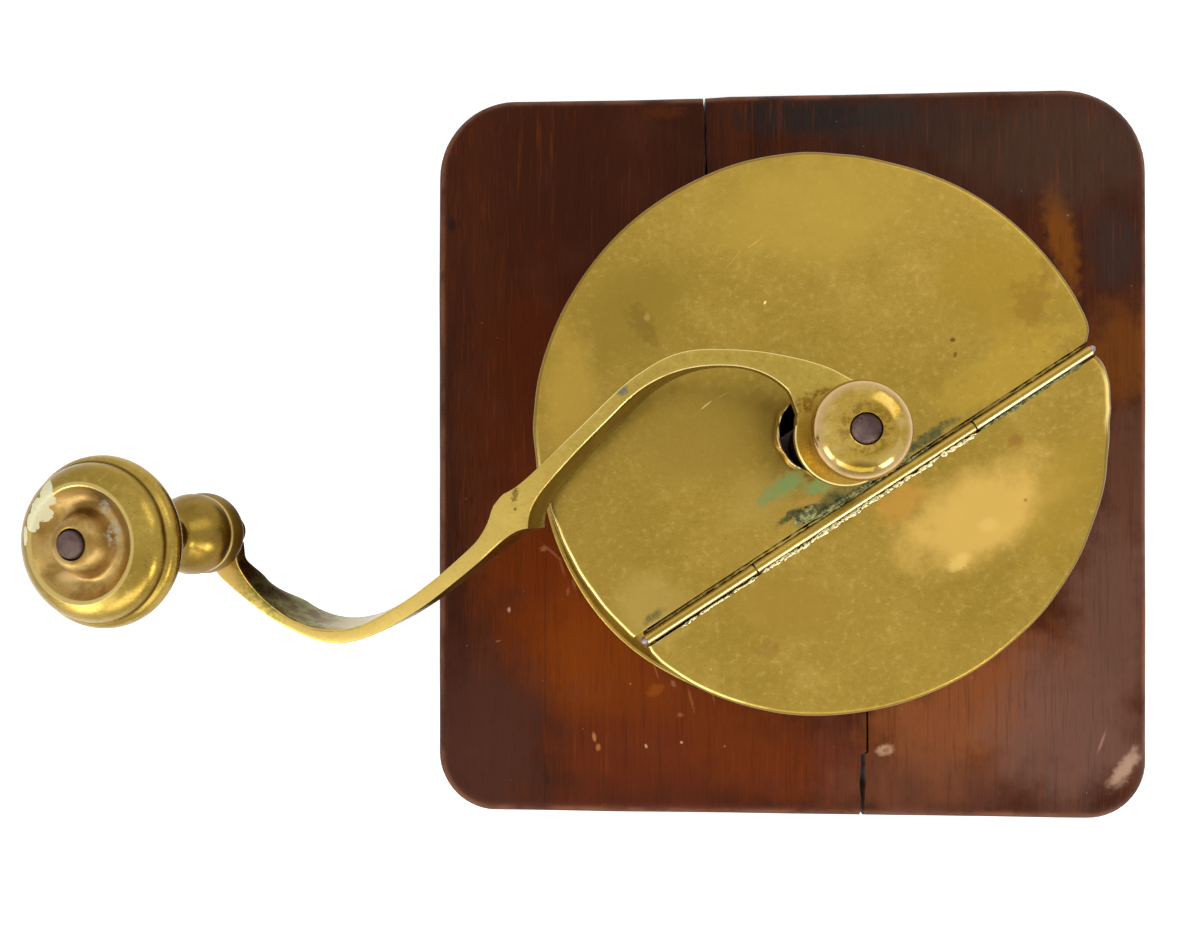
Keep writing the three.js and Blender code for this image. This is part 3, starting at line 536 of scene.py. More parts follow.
COVER_AGE = [
    (-42, 30, 20, 12, 45, 0.4, 0.8, (146, 120, 46)), (-26, 2, 22, 14, 20, 0.4, 0.7, (156, 128, 54)),
    (-2, 52, 34, 16, 0, 0.4, 0.7, (184, 153, 65)), (-56, 8, 8, 22, 0, 0.4, 0.7, (184, 150, 64)),
    (38, 34, 20, 14, -30, 0.4, 0.7, (162, 131, 44)), (38, 15, 20, 8, 33, 0.8, 0.5, (190, 156, 60)),
    (-38, -36, 12, 10, -30, 0.4, 0.7, (180, 152, 76)), (-14, -12, 12, 8, 30, 0.4, 0.6, (178, 150, 72)),
    (45, 31, 5, 7, 10, 1.2, 0.32, (124, 80, 36)), (49, 38, 3, 4, 0, 1.2, 0.3, (124, 82, 36)),
    (-40, 27, 3, 7, 30, 1.2, 0.3, (104, 80, 34)),
]
COVER_MARKS_AND_HIGHLIGHT = [
    # The pale yellow rows at x 30 to 36 paint a broad highlight on the flap; the others are marks.
    (34, -16, 26, 13, 30, 0.4, 0.95, (218, 178, 90)), (17, -13, 9, 5, 33, 0.6, 0.7, (202, 150, 66)),
    (30, -26, 4, 2.2, 30, 0.5, 0.7, (236, 198, 108)), (36, -18, 3, 2, 20, 0.6, 0.5, (232, 194, 108)),
    (-9, -36, 16, 8, 0, 0.4, 0.8, (164, 132, 54)), (52, -12, 8, 24, -20, 0.4, 0.6, (172, 140, 52)),
    (-12, -46, 4, 2.5, 0, 0.8, 0.4, (146, 106, 48)), (42, 0.5, 2.2, 2.2, 0, 0.8, 0.5, (150, 98, 44)),
    (44, -12.5, 0.6, 0.6, 0, 0.3, 0.6, (150, 92, 50)),
    (28.3, 22.7, 0.9, 0.7, 20, 0.5, 0.9, (112, 68, 26)),
    (28.8, 19.4, 0.7, 0.8, 0, 0.5, 0.8, (118, 76, 30)),
    (-25.7, 8.6, 2.1, 0.22, 39, 0.2, 0.8, (232, 208, 130)),
    (-22, 10.8, 2.4, 0.13, 28, 0.3, 0.5, (214, 186, 108)),
    (-12.7, 31.3, 0.6, 0.35, 60, 0, 1, (252, 236, 150)),
    (-19.8, 40.8, 4.3, 0.16, 50, 0.4, 0.6, (206, 160, 72)),
    (-15, 44.5, 2.4, 0.3, 35, 0.8, 0.6, (216, 170, 84)),
    (-38.8, 28.2, 1, 1.2, 0, 0.6, 0.5, (196, 162, 92)),
]
ARM_MARKS = [
    (-43.9, 9.5, 1.7, 1.5, 40, 0.4, 0.95, (98, 104, 90)),
    (-66, -11.4, 0.8, 2.2, -10, 1.4, 0.7, (88, 62, 28)),
    (-66, -14.4, 0.5, 0.5, 0, 0.5, 0.7, (80, 56, 26)),
    (-68.4, -10.4, 1.2, 0.4, 30, 0.5, 0.8, (96, 66, 30)),
]


def top_wood():
    """The top board: mahogany, worn orange and blackened by age in places, with rubbed edges, painted sheen
    in patches and on the right, and painted shade down its rounded edge.
    """
    s = wood("top_wood", 1, (60, 27, 13), (80, 36, 14), (108, 52, 18))
    top = BOARD["top"]
    x, y, z = s.axes(s.place)
    s.stains_and_sheen(top, WOOD_STAINS_AND_SHEEN)
    s.tint((48, 17, 4), s.ramp(s.streaks, 0.5, 0.66), 0.34)
    s.tint((150, 72, 14), s.ramp(s.streaks, 0.46, 0.32), 0.26)
    s.stains_and_sheen(top, WOOD_MARKS)
    corner = s.ramp(s.plus(x, s.product(s.noise(5, 3), 3)), -60, -69)
    s.tint((80, 44, 32), corner, s.blobs(top, 60, (-82, -78, 26, 34, 0.5, 10)), 0.75)
    plank = s.ramp(s.math("ABSOLUTE", s.plus(x, 66.2)), 0.35, 0.1)
    s.tint((46, 24, 18), plank, s.ramp(y, -26, -40), 0.3)
    # Painted sheen: faint pale purple-grey patches that stand in for reflected light.
    sheen_patches = s.patches(15, 4, 0.55, 0.52, 0.74)
    s.tint((96, 58, 48), sheen_patches, 0.14)
    s.tint((186, 146, 124), s.most(s.spots(9, 0.32, 0.4), s.spots(4, 0.18, 0.3)), 0.6)
    s.tint((142, 88, 58), s.band(z, top - 1.6, top - 0.5, 0.35), s.patches(16, 4, 0.6, 0.35, 0.6), 0.6)
    # Painted shade: darker down the board's rounded edge and sides.
    s.tint((52, 26, 18), s.ramp(z, top - 1.8, top - 3), 0.6)
    rubbed = s.blobs(top - 1, 4, (87, -83, 3, 9, 0.6, 3, -35))
    s.tint((196, 156, 132), rubbed, s.ramp(z, top - 3, top - 1.5), 0.8)
    return s.done()


def cover_brass():
    """The hopper cover: olive gold sheet, with verdigris round the hole and along the hinge, and painted
    highlight, shade and reflection on its turned-down lip.
    """
    s = aged_brass("cover_brass", (160, 131, 52), (170, 140, 58), (182, 152, 72), (0.3, 0.44), 0.0)
    top = LID["top"]
    s.stains_and_sheen(top, COVER_AGE)
    s.stains_and_sheen(top, COVER_MARKS_AND_HIGHLIGHT)
    s.tint((112, 78, 34), s.spots(4, 0.24, 0.5), s.patches(20, 3, 0.5, 0.42, 0.56), 0.7)
    s.tint((236, 214, 150), s.spots(13, 0.22, 0.3), 0.8)
    rings = s.patches(1.3, 4, 0.7, 0.4, 0.62)
    pale = s.product(s.patches(2.4, 5, 0.68, 0.34, 0.46), s.blobs(
        top, 9, (-8.4, -9, 7, 2.9, 0.7, 3, 30), (-1.5, -9, 5, 3, 0.7, 3, 10),
        (-12.5, -12, 3.6, 1.8, 0.9, 2, 40),
    ))
    deep = s.most(
        s.blobs(top, 9, (1.5, -13.2, 9.5, 2.5, 0.7, 3, 33.4), (22, 0.7, 10, 1.7, 0.8, 2, 33.4)),
        s.product(s.blobs(top, 9, (-37.1, -38.2, 3.6, 1.3, 0.9, 2, 34)), 0.7),
        s.product(s.blobs(top, 9, (-7.4, -16.2, 4, 1.1, 0.9, 2, 40)), 0.9),
    )
    ochre = s.blobs(top, 9, (-3.4, -13, 4, 1.4, 1.0, 2, 14))
    s.tint((128, 158, 84), pale, s.plus(0.5, s.product(rings, 0.45)))
    s.tint((54, 62, 8), deep, s.plus(0.65, s.product(rings, 0.35)))
    s.tint((190, 152, 74), ochre, 0.6)
    dull = s.most(pale, deep)
    up = s.up()
    # Painted highlight on the lip's rounding, strongest at the lower left and at the flap's right corner.
    lip_painted_highlight = s.most(s.blobs(
        top - 2, 30, (-34, -50, 30, 18, 0.4, 12, -38), (-54, -22, 16, 34, 0.4, 12, 22),
        (64, 10, 8, 12, 0.2, 12),
    ), 0.1)
    s.tint((252, 226, 140), s.band(up, 0.8, 0.975, 0.03), lip_painted_highlight, 0.9)
    # Painted shade: a dark olive band where the lip turns down, standing in for reflected dark
    # surroundings.
    lip_painted_shade = s.minus(1.0, s.product(lip_painted_highlight, s.ramp(up, 0.74, 0.82)))
    s.tint((128, 98, 26), s.band(up, 0.3, 0.95, 0.04), lip_painted_shade, 0.85)
    # Painted reflection: a pale pinkish line where the lip faces sideways.
    s.tint((236, 196, 160), s.band(up, 0.1, 0.24, 0.03), 0.9)
    return s.done(
        Metallic=s.minus(1.0, s.product(dull, 0.9)), Roughness=s.plus(s.rough, s.product(dull, 0.3)))


def tube_brass():
    """The hinge's rolled tubes: painted bands of light and shade across them, and a painted highlight line
    along the flap's side.
    """
    s = aged_brass("tube_brass", (160, 128, 46), (184, 150, 60), (200, 168, 78), (0.32, 0.44), 0.3)
    x, y, z = s.local(HINGE_PLACE)
    # Painted light across the tube: a lighter band above, a dark line along its middle and a bright
    # highlight on the flap's side.
    s.tint((214, 182, 96), s.band(y, 0.35, 0.8, 0.12), 0.5)
    s.tint((146, 114, 36), s.band(y, -0.2, 0.2, 0.12), 0.6)
    share = s.most(s.ramp(x, 26, 31), s.product(s.ramp(x, 27, -10), 0.6))
    s.tint((255, 246, 200), s.band(y, -0.95, -0.4, 0.12), s.most(share, 0.45))
    # Painted shade on the tube's lower half.
    s.tint((70, 56, 24), s.ramp(z, 0.4, 0.0), 0.85)
    return s.done()


def arm_brass():
    """The crank: pale top, brighter beyond its middle, with painted shade darkening its sides over olive
    patina and a painted highlight along its edge near the eye.
    """
    s = aged_brass("crank_brass", (172, 146, 62), (180, 152, 66), (190, 162, 76), marks=0.9)
    x, up = s.local(CRANK_PLACE)[0], s.up()
    s.tint((222, 191, 104), s.ramp(x, 40, 105))
    s.tint((150, 122, 52), s.patches(0.7, 4, 0.65, 0.5, 0.72), 0.2)
    # Colours for the sides: olive and green patina, and pale by the pad.
    dull = s.mix(s.patches(5, 4, 0.6, 0.4, 0.62), (132, 106, 40), (112, 92, 36))
    outer = s.mix(s.patches(4, 5, 0.65, 0.42, 0.58), (92, 66, 22), (124, 122, 62))
    outer = s.mix(s.ramp(x, 118, 106), outer, (176, 160, 108))
    # Painted shade over patina: faces that turn away from the top take the darker side colours.
    s.tint(s.mix(s.ramp(x, 88, 100), dull, outer), s.ramp(up, 0.75, 0.35))
    s.stains_and_sheen(HUB_TOP - 11, ARM_MARKS)
    hub = s.blobs(HUB_TOP, 3, (-8.2, 6.2, 3.4, 2.6, 0.7, 1.6, 40), (-5, 8.4, 3.6, 1, 0.7, 1.4, 24))
    s.tint((120, 82, 14), hub, s.patches(0.9, 4, 0.7, 0.62, 0.42), 0.85)
    s.tint((140, 112, 40), s.blobs(HUB_TOP, 3, (-8, -3.4, 2.2, 9, 0.5, 1.6, 16)), 0.35)
    # Painted highlight along the bevelled edge near the eye.
    s.tint((250, 226, 150), s.band(up, 0.55, 0.93, 0.08), s.ramp(x, 62, 52), 0.7)
    s.tint((180, 140, 72), s.ramp(x, 124, 132), s.ramp(up, 0.4, 0.8), 0.6)
    crust = s.product(s.band(x, 122, 131, 1.5), s.patches(1.6, 4, 0.7, 0.44, 0.54), s.ramp(up, 0.5, 0.9))
    s.tint((142, 142, 66), crust, 0.75)
    return s.done()


def knob_brass():
    """The knob: a tan dish, dark groove lines, a splash of old polish, painted shade with brown tarnish
    patches below its flare, and painted highlights and a painted shadow on top.
    """
    s = aged_brass("knob_brass", (140, 114, 44), (166, 138, 62), (190, 162, 84), (0.2, 0.34))
    x, y, z = s.local(KNOB_PLACE)
    r = s.radius(x, y)
    # Painted shade: darker below the flare, with brown tarnish patches lower down.
    s.tint((132, 106, 44), s.ramp(z, 35, 27), 0.7)
    s.tint((112, 80, 36), s.ramp(z, 18, 15), s.patches(7, 4, 0.6, 0.4, 0.6), 0.5)
    dish = s.product(s.ramp(r, 10.3, 9.4), s.ramp(z, 38.4, 39))
    tan = s.mix(s.patches(6, 4, 0.6, 0.38, 0.6), (146, 112, 58), (190, 158, 98))
    s.tint(tan, dish, 0.85)
    high = s.ramp(z, 36.8, 37.4)
    groove = s.product(s.band(r, 14.25, 14.65, 0.12), high)
    s.tint((92, 66, 22), s.most(groove, s.product(s.band(z, 9.0, 9.2, 0.1), 0.6)), 0.7)
    # Painted highlights: a pale line along the bead under the groove, and a pale ring on the dish's rim.
    s.tint((222, 196, 120), s.band(z, 8.5, 8.9, 0.12), 0.7)
    s.tint((228, 204, 132), s.band(r, 10, 10.9, 0.15), high, 0.5)
    # Painted shadow: a dark crescent beside the dish's middle.
    s.tint((104, 72, 30), s.blobs(KNOB_TOP, 8, (-137.6, -13.4, 5.8, 2.2, 0.5, 3, 6)), 0.7)
    # Painted highlight: a pale crescent on the dish's lower side.
    s.tint((236, 200, 140), s.blobs(KNOB_TOP, 8, (-140.6, -26.2, 4.2, 1.7, 0.5, 3, 6)), 0.7)
    s.tint((92, 68, 30), s.spots(0.9, 0.16, 0.4), s.patches(6, 3, 0.5, 0.48, 0.6), 0.7)
    splash = s.most(*(s.blob((x, y, z), (wide, deep, 6), 0.3, size) for x, y, z, wide, deep, size in (
        (-144.7, -11.6, 206, 1.7, 2.6, 1.6), (-146.2, -14.4, 205.5, 2, 2.7, 1.6),
        (-147.8, -16.6, 205, 1.3, 2.2, 1.4), (-149.1, -19, 204, 0.7, 2.2, 1.2),
    )))
    splash = s.product(s.ramp(splash, 0.1, 0.16), s.patches(0.5, 3, 0.6, 0.7, 0.62))
    dots = (-134.2, -13.8, 1.4, 1.6, 0.8, 1.4), (-132.4, -18.4, 1.1, 3.2, 0.8, 1.4, 8)
    white = s.product(s.blobs(KNOB_TOP, 5, *dots), s.patches(0.8, 4, 0.65, 0.4, 0.56), 0.8)
    s.tint((243, 237, 192), splash)
    s.tint((206, 200, 182), white)
    dull = s.most(splash, white)
    rougher = s.most(s.product(dish, 0.14), s.product(dull, 0.4), s.product(s.ramp(z, 14, 8), 0.2))
    return s.done(Metallic=s.minus(1.0, s.product(dull, 0.95)), Roughness=s.plus(s.rough, rougher))


def nut_brass():
    """The ball nut: bright brass with a ring of tool marks round its hole, a painted pale reflection round
    its rim, a painted dark reflection on its front and painted shade at its foot.
    """
    s = aged_brass("nut_brass", (160, 128, 44), (184, 152, 66), (208, 178, 96), (0.1, 0.2), 0.6)
    x, y, z = s.local(CRANK_PLACE)
    r = s.radius(x, y)
    s.tint((120, 90, 30), s.ramp(r, 5.4, 4.2), s.patches(1.1, 4, 0.65, 0.44, 0.58), 0.6)
    s.tint((206, 180, 116), s.patches(4, 4, 0.65, 0.42, 0.6), s.ramp(r, 4.6, 6.4), 0.5)
    # Painted reflection: a pale pinkish band round the dome's rim.
    s.tint((196, 164, 118), s.ramp(r, 7, 8.4), s.ramp(z, 7, 10), 0.75)
    # Painted reflection: a dark olive crescent on the dome's front.
    s.tint((112, 90, 18), s.blobs(HUB_TOP + 13, 8, (-0.9, -7, 5.4, 1.7, 0.3, 3)), 0.85)
    # Painted shade: darker at the foot under the ball.
    s.tint((150, 112, 40), s.ramp(z, 6.5, 4.5), 0.5)
    return s.done()


def solder_metal():
    """Old solder: bright where it is rubbed, black in its hollows."""
    s = Shader("solder")
    pit = s.patches(0.6, 4, 0.65, 0.36, 0.5)
    s.colour = s.mix(pit, (70, 62, 34), (242, 230, 176))
    return s.done(Metallic=s.ramp(pit, 0, 1, 0.4, 1), Roughness=0.34, Normal=s.height(pit, 0.12))


def crusted():
    """Solder grown over with verdigris."""
    s = Shader("crusted_solder")
    pit = s.patches(1.2, 4, 0.65, 0.4, 0.62)
    s.colour = s.mix(pit, (72, 72, 32), (168, 164, 100))
    return s.done(Metallic=0.3, Roughness=0.5, Normal=s.height(pit, 0.15))


def plain_brass(name, shade, tone, light, rough=(0.16, 0.3)):
    return aged_brass(name, shade, tone, light, rough).material


MAHOGANY = (56, 26, 14), (82, 38, 18), (112, 56, 24)
INNER = (120, 80, 44), (158, 112, 66), (182, 138, 88), (0.6, 0.8), 0.4

front_wood = wood("wood_across", 0, *MAHOGANY).material
side_wood = wood("wood_depth", 1, *MAHOGANY).material
inner_across = wood("inner_wood_across", 0, *INNER).material
inner_depth = wood("inner_wood_depth", 1, *INNER).material
base_wood = wood("base_wood", 0, *MAHOGANY).material
cover = cover_brass()
crank_brass = arm_brass()
hinge_brass = tube_brass()
drum_brass = plain_brass("hopper_brass", (150, 122, 54), (178, 148, 66), (196, 166, 82), (0.24, 0.38))
turned_brass = plain_brass("turned_brass", (140, 110, 42), (172, 142, 60), (198, 168, 82))
fitting_brass = plain_brass("fitting_brass", (150, 122, 52), (184, 154, 70), (206, 178, 94))
rim_brass = plain_brass("rim_brass", (196, 172, 110), (228, 208, 146), (244, 232, 184))
solder_bright = solder_metal()
worn_seam = plain_brass("worn_seam", (110, 92, 44), (160, 138, 70), (190, 168, 100), (0.35, 0.5))
solder_green = crusted()
pin_steel = steel("pin_steel", (128, 114, 126), (182, 168, 184))
shaft_steel = steel("shaft_steel", (76, 58, 54), (116, 94, 88))
iron = cast_iron()


def wedge(name, path, bottom, top):
    """A thin cutter along a crooked path, given as x, y and width."""
    side = [(x - w / 2, y) for x, y, w in path] + [(x + w / 2, y) for x, y, w in reversed(path)]
    return prism(name, side, bottom, top)


def crack(start, end, x_start, x_end, width_start, width_end, seed):
    """The path of a crooked crack from one place to another along Y."""
    path = []
    for i in range(41):
        t = i / 40
        y = start + (end - start) * t
        x = x_start + (x_end - x_start) * t
        x = x + 0.3 * rumple((0, y, 0), 9, seed) + 0.15 * rumple((0, y, 0), 2.2, seed)
        width = width_start + (width_end - width_start) * t
        path.append((x, y, max(0.12, width * (1 + 0.5 * rumple((5, y, 0), 3, seed)))))
    return path


def top_board():
    """The top board with its rounded edge, its bore and its two cracks."""
    edge = [(1.2, 100, None), (0.35, 100.4), (0, 101.5), (0, 109, None), (0.12, 110.6), (0.6, 112),
            (1.6, 113.1), (2.9, 113.8), (4.4, BOARD["top"], None)]
    points, faces = board(BOARD["width"], BOARD["depth"], BOARD["radii"], spline(edge, 3))
    uneven = []
    for x, y, z in points:
        back = 0.3 if x < -21.8 and y > 0 else 0
        scale = 1 - (0.16 * rumple((x, y, 0), 30) + 0.05 * rumple((x, y, z), 6)) / 95
        uneven.append((x * scale + BOARD["shift"], (y - back) * scale, z))
    made = mesh_object("top_board_wood", uneven, faces)
    bore = cylinder("bore", BOARD["bore"], 99, 116, 64)
    back_crack = wedge("crack", crack(100, 55, -23.3, -22.2, 0.7, 0.4, 1), 98, 118)
    jog = [(19.9, -55, 0.3), (19.9, -68, 0.5), (20, -74, 0.55), (20, -79.4, 0.6), (18.9, -80, 1)]
    front_crack = wedge("crack", jog + crack(-80.4, -99, 18.7, 18.8, 1.3, 1.6, 2), 98, 118)
    combine(made, [bore, back_crack, front_crack], "DIFFERENCE")
    finished(made, top_wood(), "mill", "mahogany", "top_board", angle=24)


def base_board():
    """The base board with its moulded edge and the wells of its four screws."""
    ogee = [(0.6, 0, None), (0.1, 0.15), (0, 0.6), (0, 4.6, None), (0.25, 5.8), (1, 6.6), (2.2, 7, None),
            (2.9, 7.3), (4.3, 8.4), (4.9, 9.6), (5.1, 11.4, None), (5.6, 11.9), (6.2, 12, None)]
    made = mesh_object(
        "base_board_wood", *board(BASE["width"], BASE["depth"], (BASE["radius"],) * 4, spline(ogee, 3)))
    well = [(0, -1), (4.3, -1), (4.3, 0.4), (2.1, 3.6), (2.1, 13), (0, 13)]
    combine(made, [round_piece("well", well, 32, Matrix.Translation((x, y, 0)))
                   for x in (-76.5, 76.5) for y in (-60, 60)], "DIFFERENCE")
    finished(made, base_wood, "mill", "mahogany", "base_board", angle=24)


def sheet_reach(angle, side):
    """How far a sheet of the cover reaches at an angle in degrees."""
    if side > 0:
        return follow(PLATE_EDGE, angle % 360)
    return follow(FLAP_EDGE, (angle + 180) % 360 - 180)


def lip_radius(angle, side):
    """The lip is bent sharply, but for the flap's right corner."""
    angle = (angle + 180) % 360 - 180
    return 1.3 + 1.1 * smooth((angle + 12) / 16) if side < 0 else 1.3


def sheet_line(angle, side):
    """Radius and height of the sheet's upper face from the hole to the lip's end."""
    radius, lip, top = sheet_reach(angle, side), lip_radius(angle, side), LID["top"]
    shares = [0, 0.035, 0.07, 0.12, 0.18, 0.25, 0.33, 0.41, 0.49, 0.57, 0.65, 0.73, 0.81, 0.88, 0.94, 0.975]
    flat = [(LID["hole"] + (radius - lip - LID["hole"]) * t, top) for t in shares]
    turns = [math.radians(a) for a in range(0, 91, 9)]
    edge = [(radius - lip + lip * math.sin(a), top - lip + lip * math.cos(a)) for a in turns]
    return flat + edge + [(radius, top - lip - (LID["lip"] - lip) * t) for t in (0.3, 0.65, 1.0)]


def cover_sheet(name, side, body, node):
    """One part of the cover: a sheet with a turned-down lip, cut along the hinge."""
    hole = LID_PLACE @ Vector(HOLE_CENTRE)
    segments = 360
    lines = [sheet_line(360 * i / segments, side) for i in range(segments)]
    rows = len(lines[0])
    points, faces = [], []
    for k in range(rows):
        for i in range(segments):
            r, z = lines[i][k]
            a = 2 * math.pi * i / segments
            out = Vector((math.cos(a), math.sin(a), 0))
            shift = hole * (1 - smooth((r - LID["hole"]) / 14))
            at = out * (r - 0.1 * (1 + rumple(out * 60, 20, 3)) * clamp((r - 40) / 20)) + shift
            lift = (1 - clamp((r - 56) / 4)) * (0.14 * rumple(at, 26, 4) + 0.04 * rumple(at, 8, 5) - 0.1)
            points.append((at.x, at.y, z + lift))
    for k in range(rows - 1):
        near, far = k * segments, (k + 1) * segments
        for i in range(segments):
            j = (i + 1) % segments
            faces.append((near + i, far + i, far + j, near + j))
    mesh = bpy.data.meshes.new(name)
    mesh.from_pydata([Vector(p) * MM for p in points], [], faces)
    made = placed(name, mesh)
    shell = bmesh.new()
    shell.from_mesh(mesh)
    across = LID_PLACE.to_3x3() @ Vector((0, 1, 0))
    edge = -HINGE["offset"] + side * (HINGE["barrel"] + (0.75 if side > 0 else 0.4))
    bmesh.ops.bisect_plane(
        shell, geom=shell.verts[:] + shell.edges[:] + shell.faces[:], plane_co=across * edge * MM,
        plane_no=across, clear_inner=side > 0, clear_outer=side < 0,
    )
    shell.to_mesh(mesh)
    shell.free()
    thick = made.modifiers.new("sheet", "SOLIDIFY")
    thick.thickness = SHEET * MM
    thick.offset = -1
    thick.use_even_offset = True
    bevelled(made, 0.2, 2, 60)
    finished(made, cover, body, "lid_brass", node, angle=40)


def lid_rim():
    """The thin, ragged raised edge of the cover's hole."""
    hole, top = LID["hole"], LID["top"]
    section = [(0, -0.3), (0, 0.75), (0.15, 1), (0.4, 1.05), (0.6, 0.8), (0.75, 0.25), (0.95, 0), (1, -0.3)]
    points, faces = turned([(hole + r, z) for r, z in section], 140)
    uneven = []
    for x, y, z in points:
        r = math.hypot(x, y)
        out = (r - hole) * (1 + 0.5 * rumple((x, y, 0), 2.6, 6)) + 0.1 * rumple((x, y, 0), 3, 9)
        up = z * (1 + 0.3 * rumple((x, y, 0), 2.2, 7))
        uneven.append((x * (hole + out) / r, y * (hole + out) / r, top + up))
    made = mesh_object("lid_rim_bead", uneven, faces, LID_PLACE @ Matrix.Translation(HOLE_CENTRE))
    finished(made, rim_brass, "mill", "lid_brass", "lid_collar", angle=60)


def drum():
    """The hopper's drum: pushed in where the cover is narrow, with a foot and a slit for the hinge."""
    radius, top, foot, low = DRUM["radius"], DRUM["top"], DRUM["foot"], BOARD["top"]
    outside = [(radius - SHEET, low), (foot - 0.6, low, None), (foot, low + 0.6), (foot - 0.3, low + 1.3),
               (foot - 1.2, low + 1.45), (foot - 2, low + SHEET, None), (radius + 2.2, low + SHEET),
               (radius + 0.7, low + 1.9), (radius, low + 4), (radius, low + 14), (radius, low + 26),
               (radius, top, None), (radius - SHEET, top, None)]
    inside = [(radius - SHEET, top - 14), (radius - SHEET, low + 14)]
    flange, screw_height, beyond = 64.5, 142.25, 70
    points, faces = turned(spline(outside, 3) + inside, 240)
    shaped = []
    for x, y, z in points:
        r = math.hypot(x, y)
        angle = math.degrees(math.atan2(y, x))
        cover_radius = min(sheet_reach(angle, 1), sheet_reach(angle, -1))
        inset = max(0, radius - cover_radius + 1.5)
        push = (inset + 0.1 * (1 + rumple((x, y, z), 18, 8))) * clamp((z - low - 3) / 10)
        push += 0.5 * rumple((x, y, 0), 22, 31) * (r > flange)
        lift = 0.2 * (1 + rumple((x, y, 0), 15, 9)) * (r > flange) * (z > low + 0.7)
        shaped.append((x * (1 - push / r), y * (1 - push / r), z + lift))
    made = mesh_object("hopper_shell", shaped, faces)
    room, offset = HINGE["barrel"] + 0.8, HINGE["offset"]
    slit = rectangle(-beyond, -room - offset, beyond, room - offset)
    slot = prism("slot", slit, top - SHEET, top + 3, LID_PLACE)
    across = Matrix.Translation((0, 0, screw_height)) @ SIDEWAYS
    hole = cylinder("hole", 1.9, -beyond, beyond, 24, LID_PLACE @ across)
    combine(made, [slot, hole], "DIFFERENCE")
    finished(made, drum_brass, "mill", "hopper_brass", "hopper_drum")


def knuckle(name, start, end, side):
    """Part of a rolled hinge: a sheet leaf under the cover, wrapped round the pin."""
    barrel, leaf = HINGE["barrel"], side * HINGE["leaf"]

    def arc(radius, angles):
        turns = [math.radians(angle) for angle in angles]
        return [(side * math.cos(a) * radius, math.sin(a) * radius) for a in turns]

    roll = arc(barrel, range(-90, -379, -12)) + arc(HINGE["bore"], range(-378, -39, 13))
    section = [(leaf, -barrel), *roll, (leaf, HINGE["sheet"] - barrel)]
    rings = [[(x, y, z) for y, z in section] for x in (start, end)]
    return mesh_object(name, *lofted(rings), HINGE_PLACE)


def solder(name, start, end, y, size, seed, z):
    """A ragged run of solder along the hinge."""
    rings = []
    steps = int((end - start) / 0.4)
    for i in range(steps + 1):
        x = start + (end - start) * i / steps
        fade = min(1, (i + 0.3) / 3, (steps - i + 0.3) / 3)
        uneven = 0.45 + 0.9 * abs(rumple((x, 0, 0), 2.1, seed)) + 0.45 * rumple((x, 4, 0), 0.9, seed)
        swell = max(size * fade * uneven, 0.05)
        shift = 0.25 * rumple((x, 9, 0), 2.6, seed)
        ring = []
        for k in range(10):
            a = 2 * math.pi * k / 10
            rise = swell * math.sin(a) * (0.8 if math.sin(a) > 0 else 0.5)
            ring.append((x, y + shift + 1.4 * swell * math.cos(a), z + rise))
        rings.append(ring)
    return mesh_object(name, *lofted(rings), HINGE_PLACE)


def lump(name, centre, radii, turned_by, seed):
    """A low lump of old solder on the cover."""
    rings = []
    for k in range(9):
        a = math.radians(90 * k / 8)
        ring = []
        for i in range(40):
            t = 2 * math.pi * i / 40
            c, s = math.cos(t), math.sin(t)
            out = 1 + 0.35 * rumple((3 * c, 3 * s, 0), 1.6, seed)
            x, y = (wide * max(math.cos(a), 0.01) * out * way for wide, way in zip(radii, (c, s)))
            rise = radii[2] * (math.sin(a) + 0.12 * rumple((x, y, 0), 1.1, seed))
            ring.append((x, y, rise if k else -0.5))
        rings.append(ring)
    return mesh_object(name, *lofted(rings), turn(turned_by, centre))


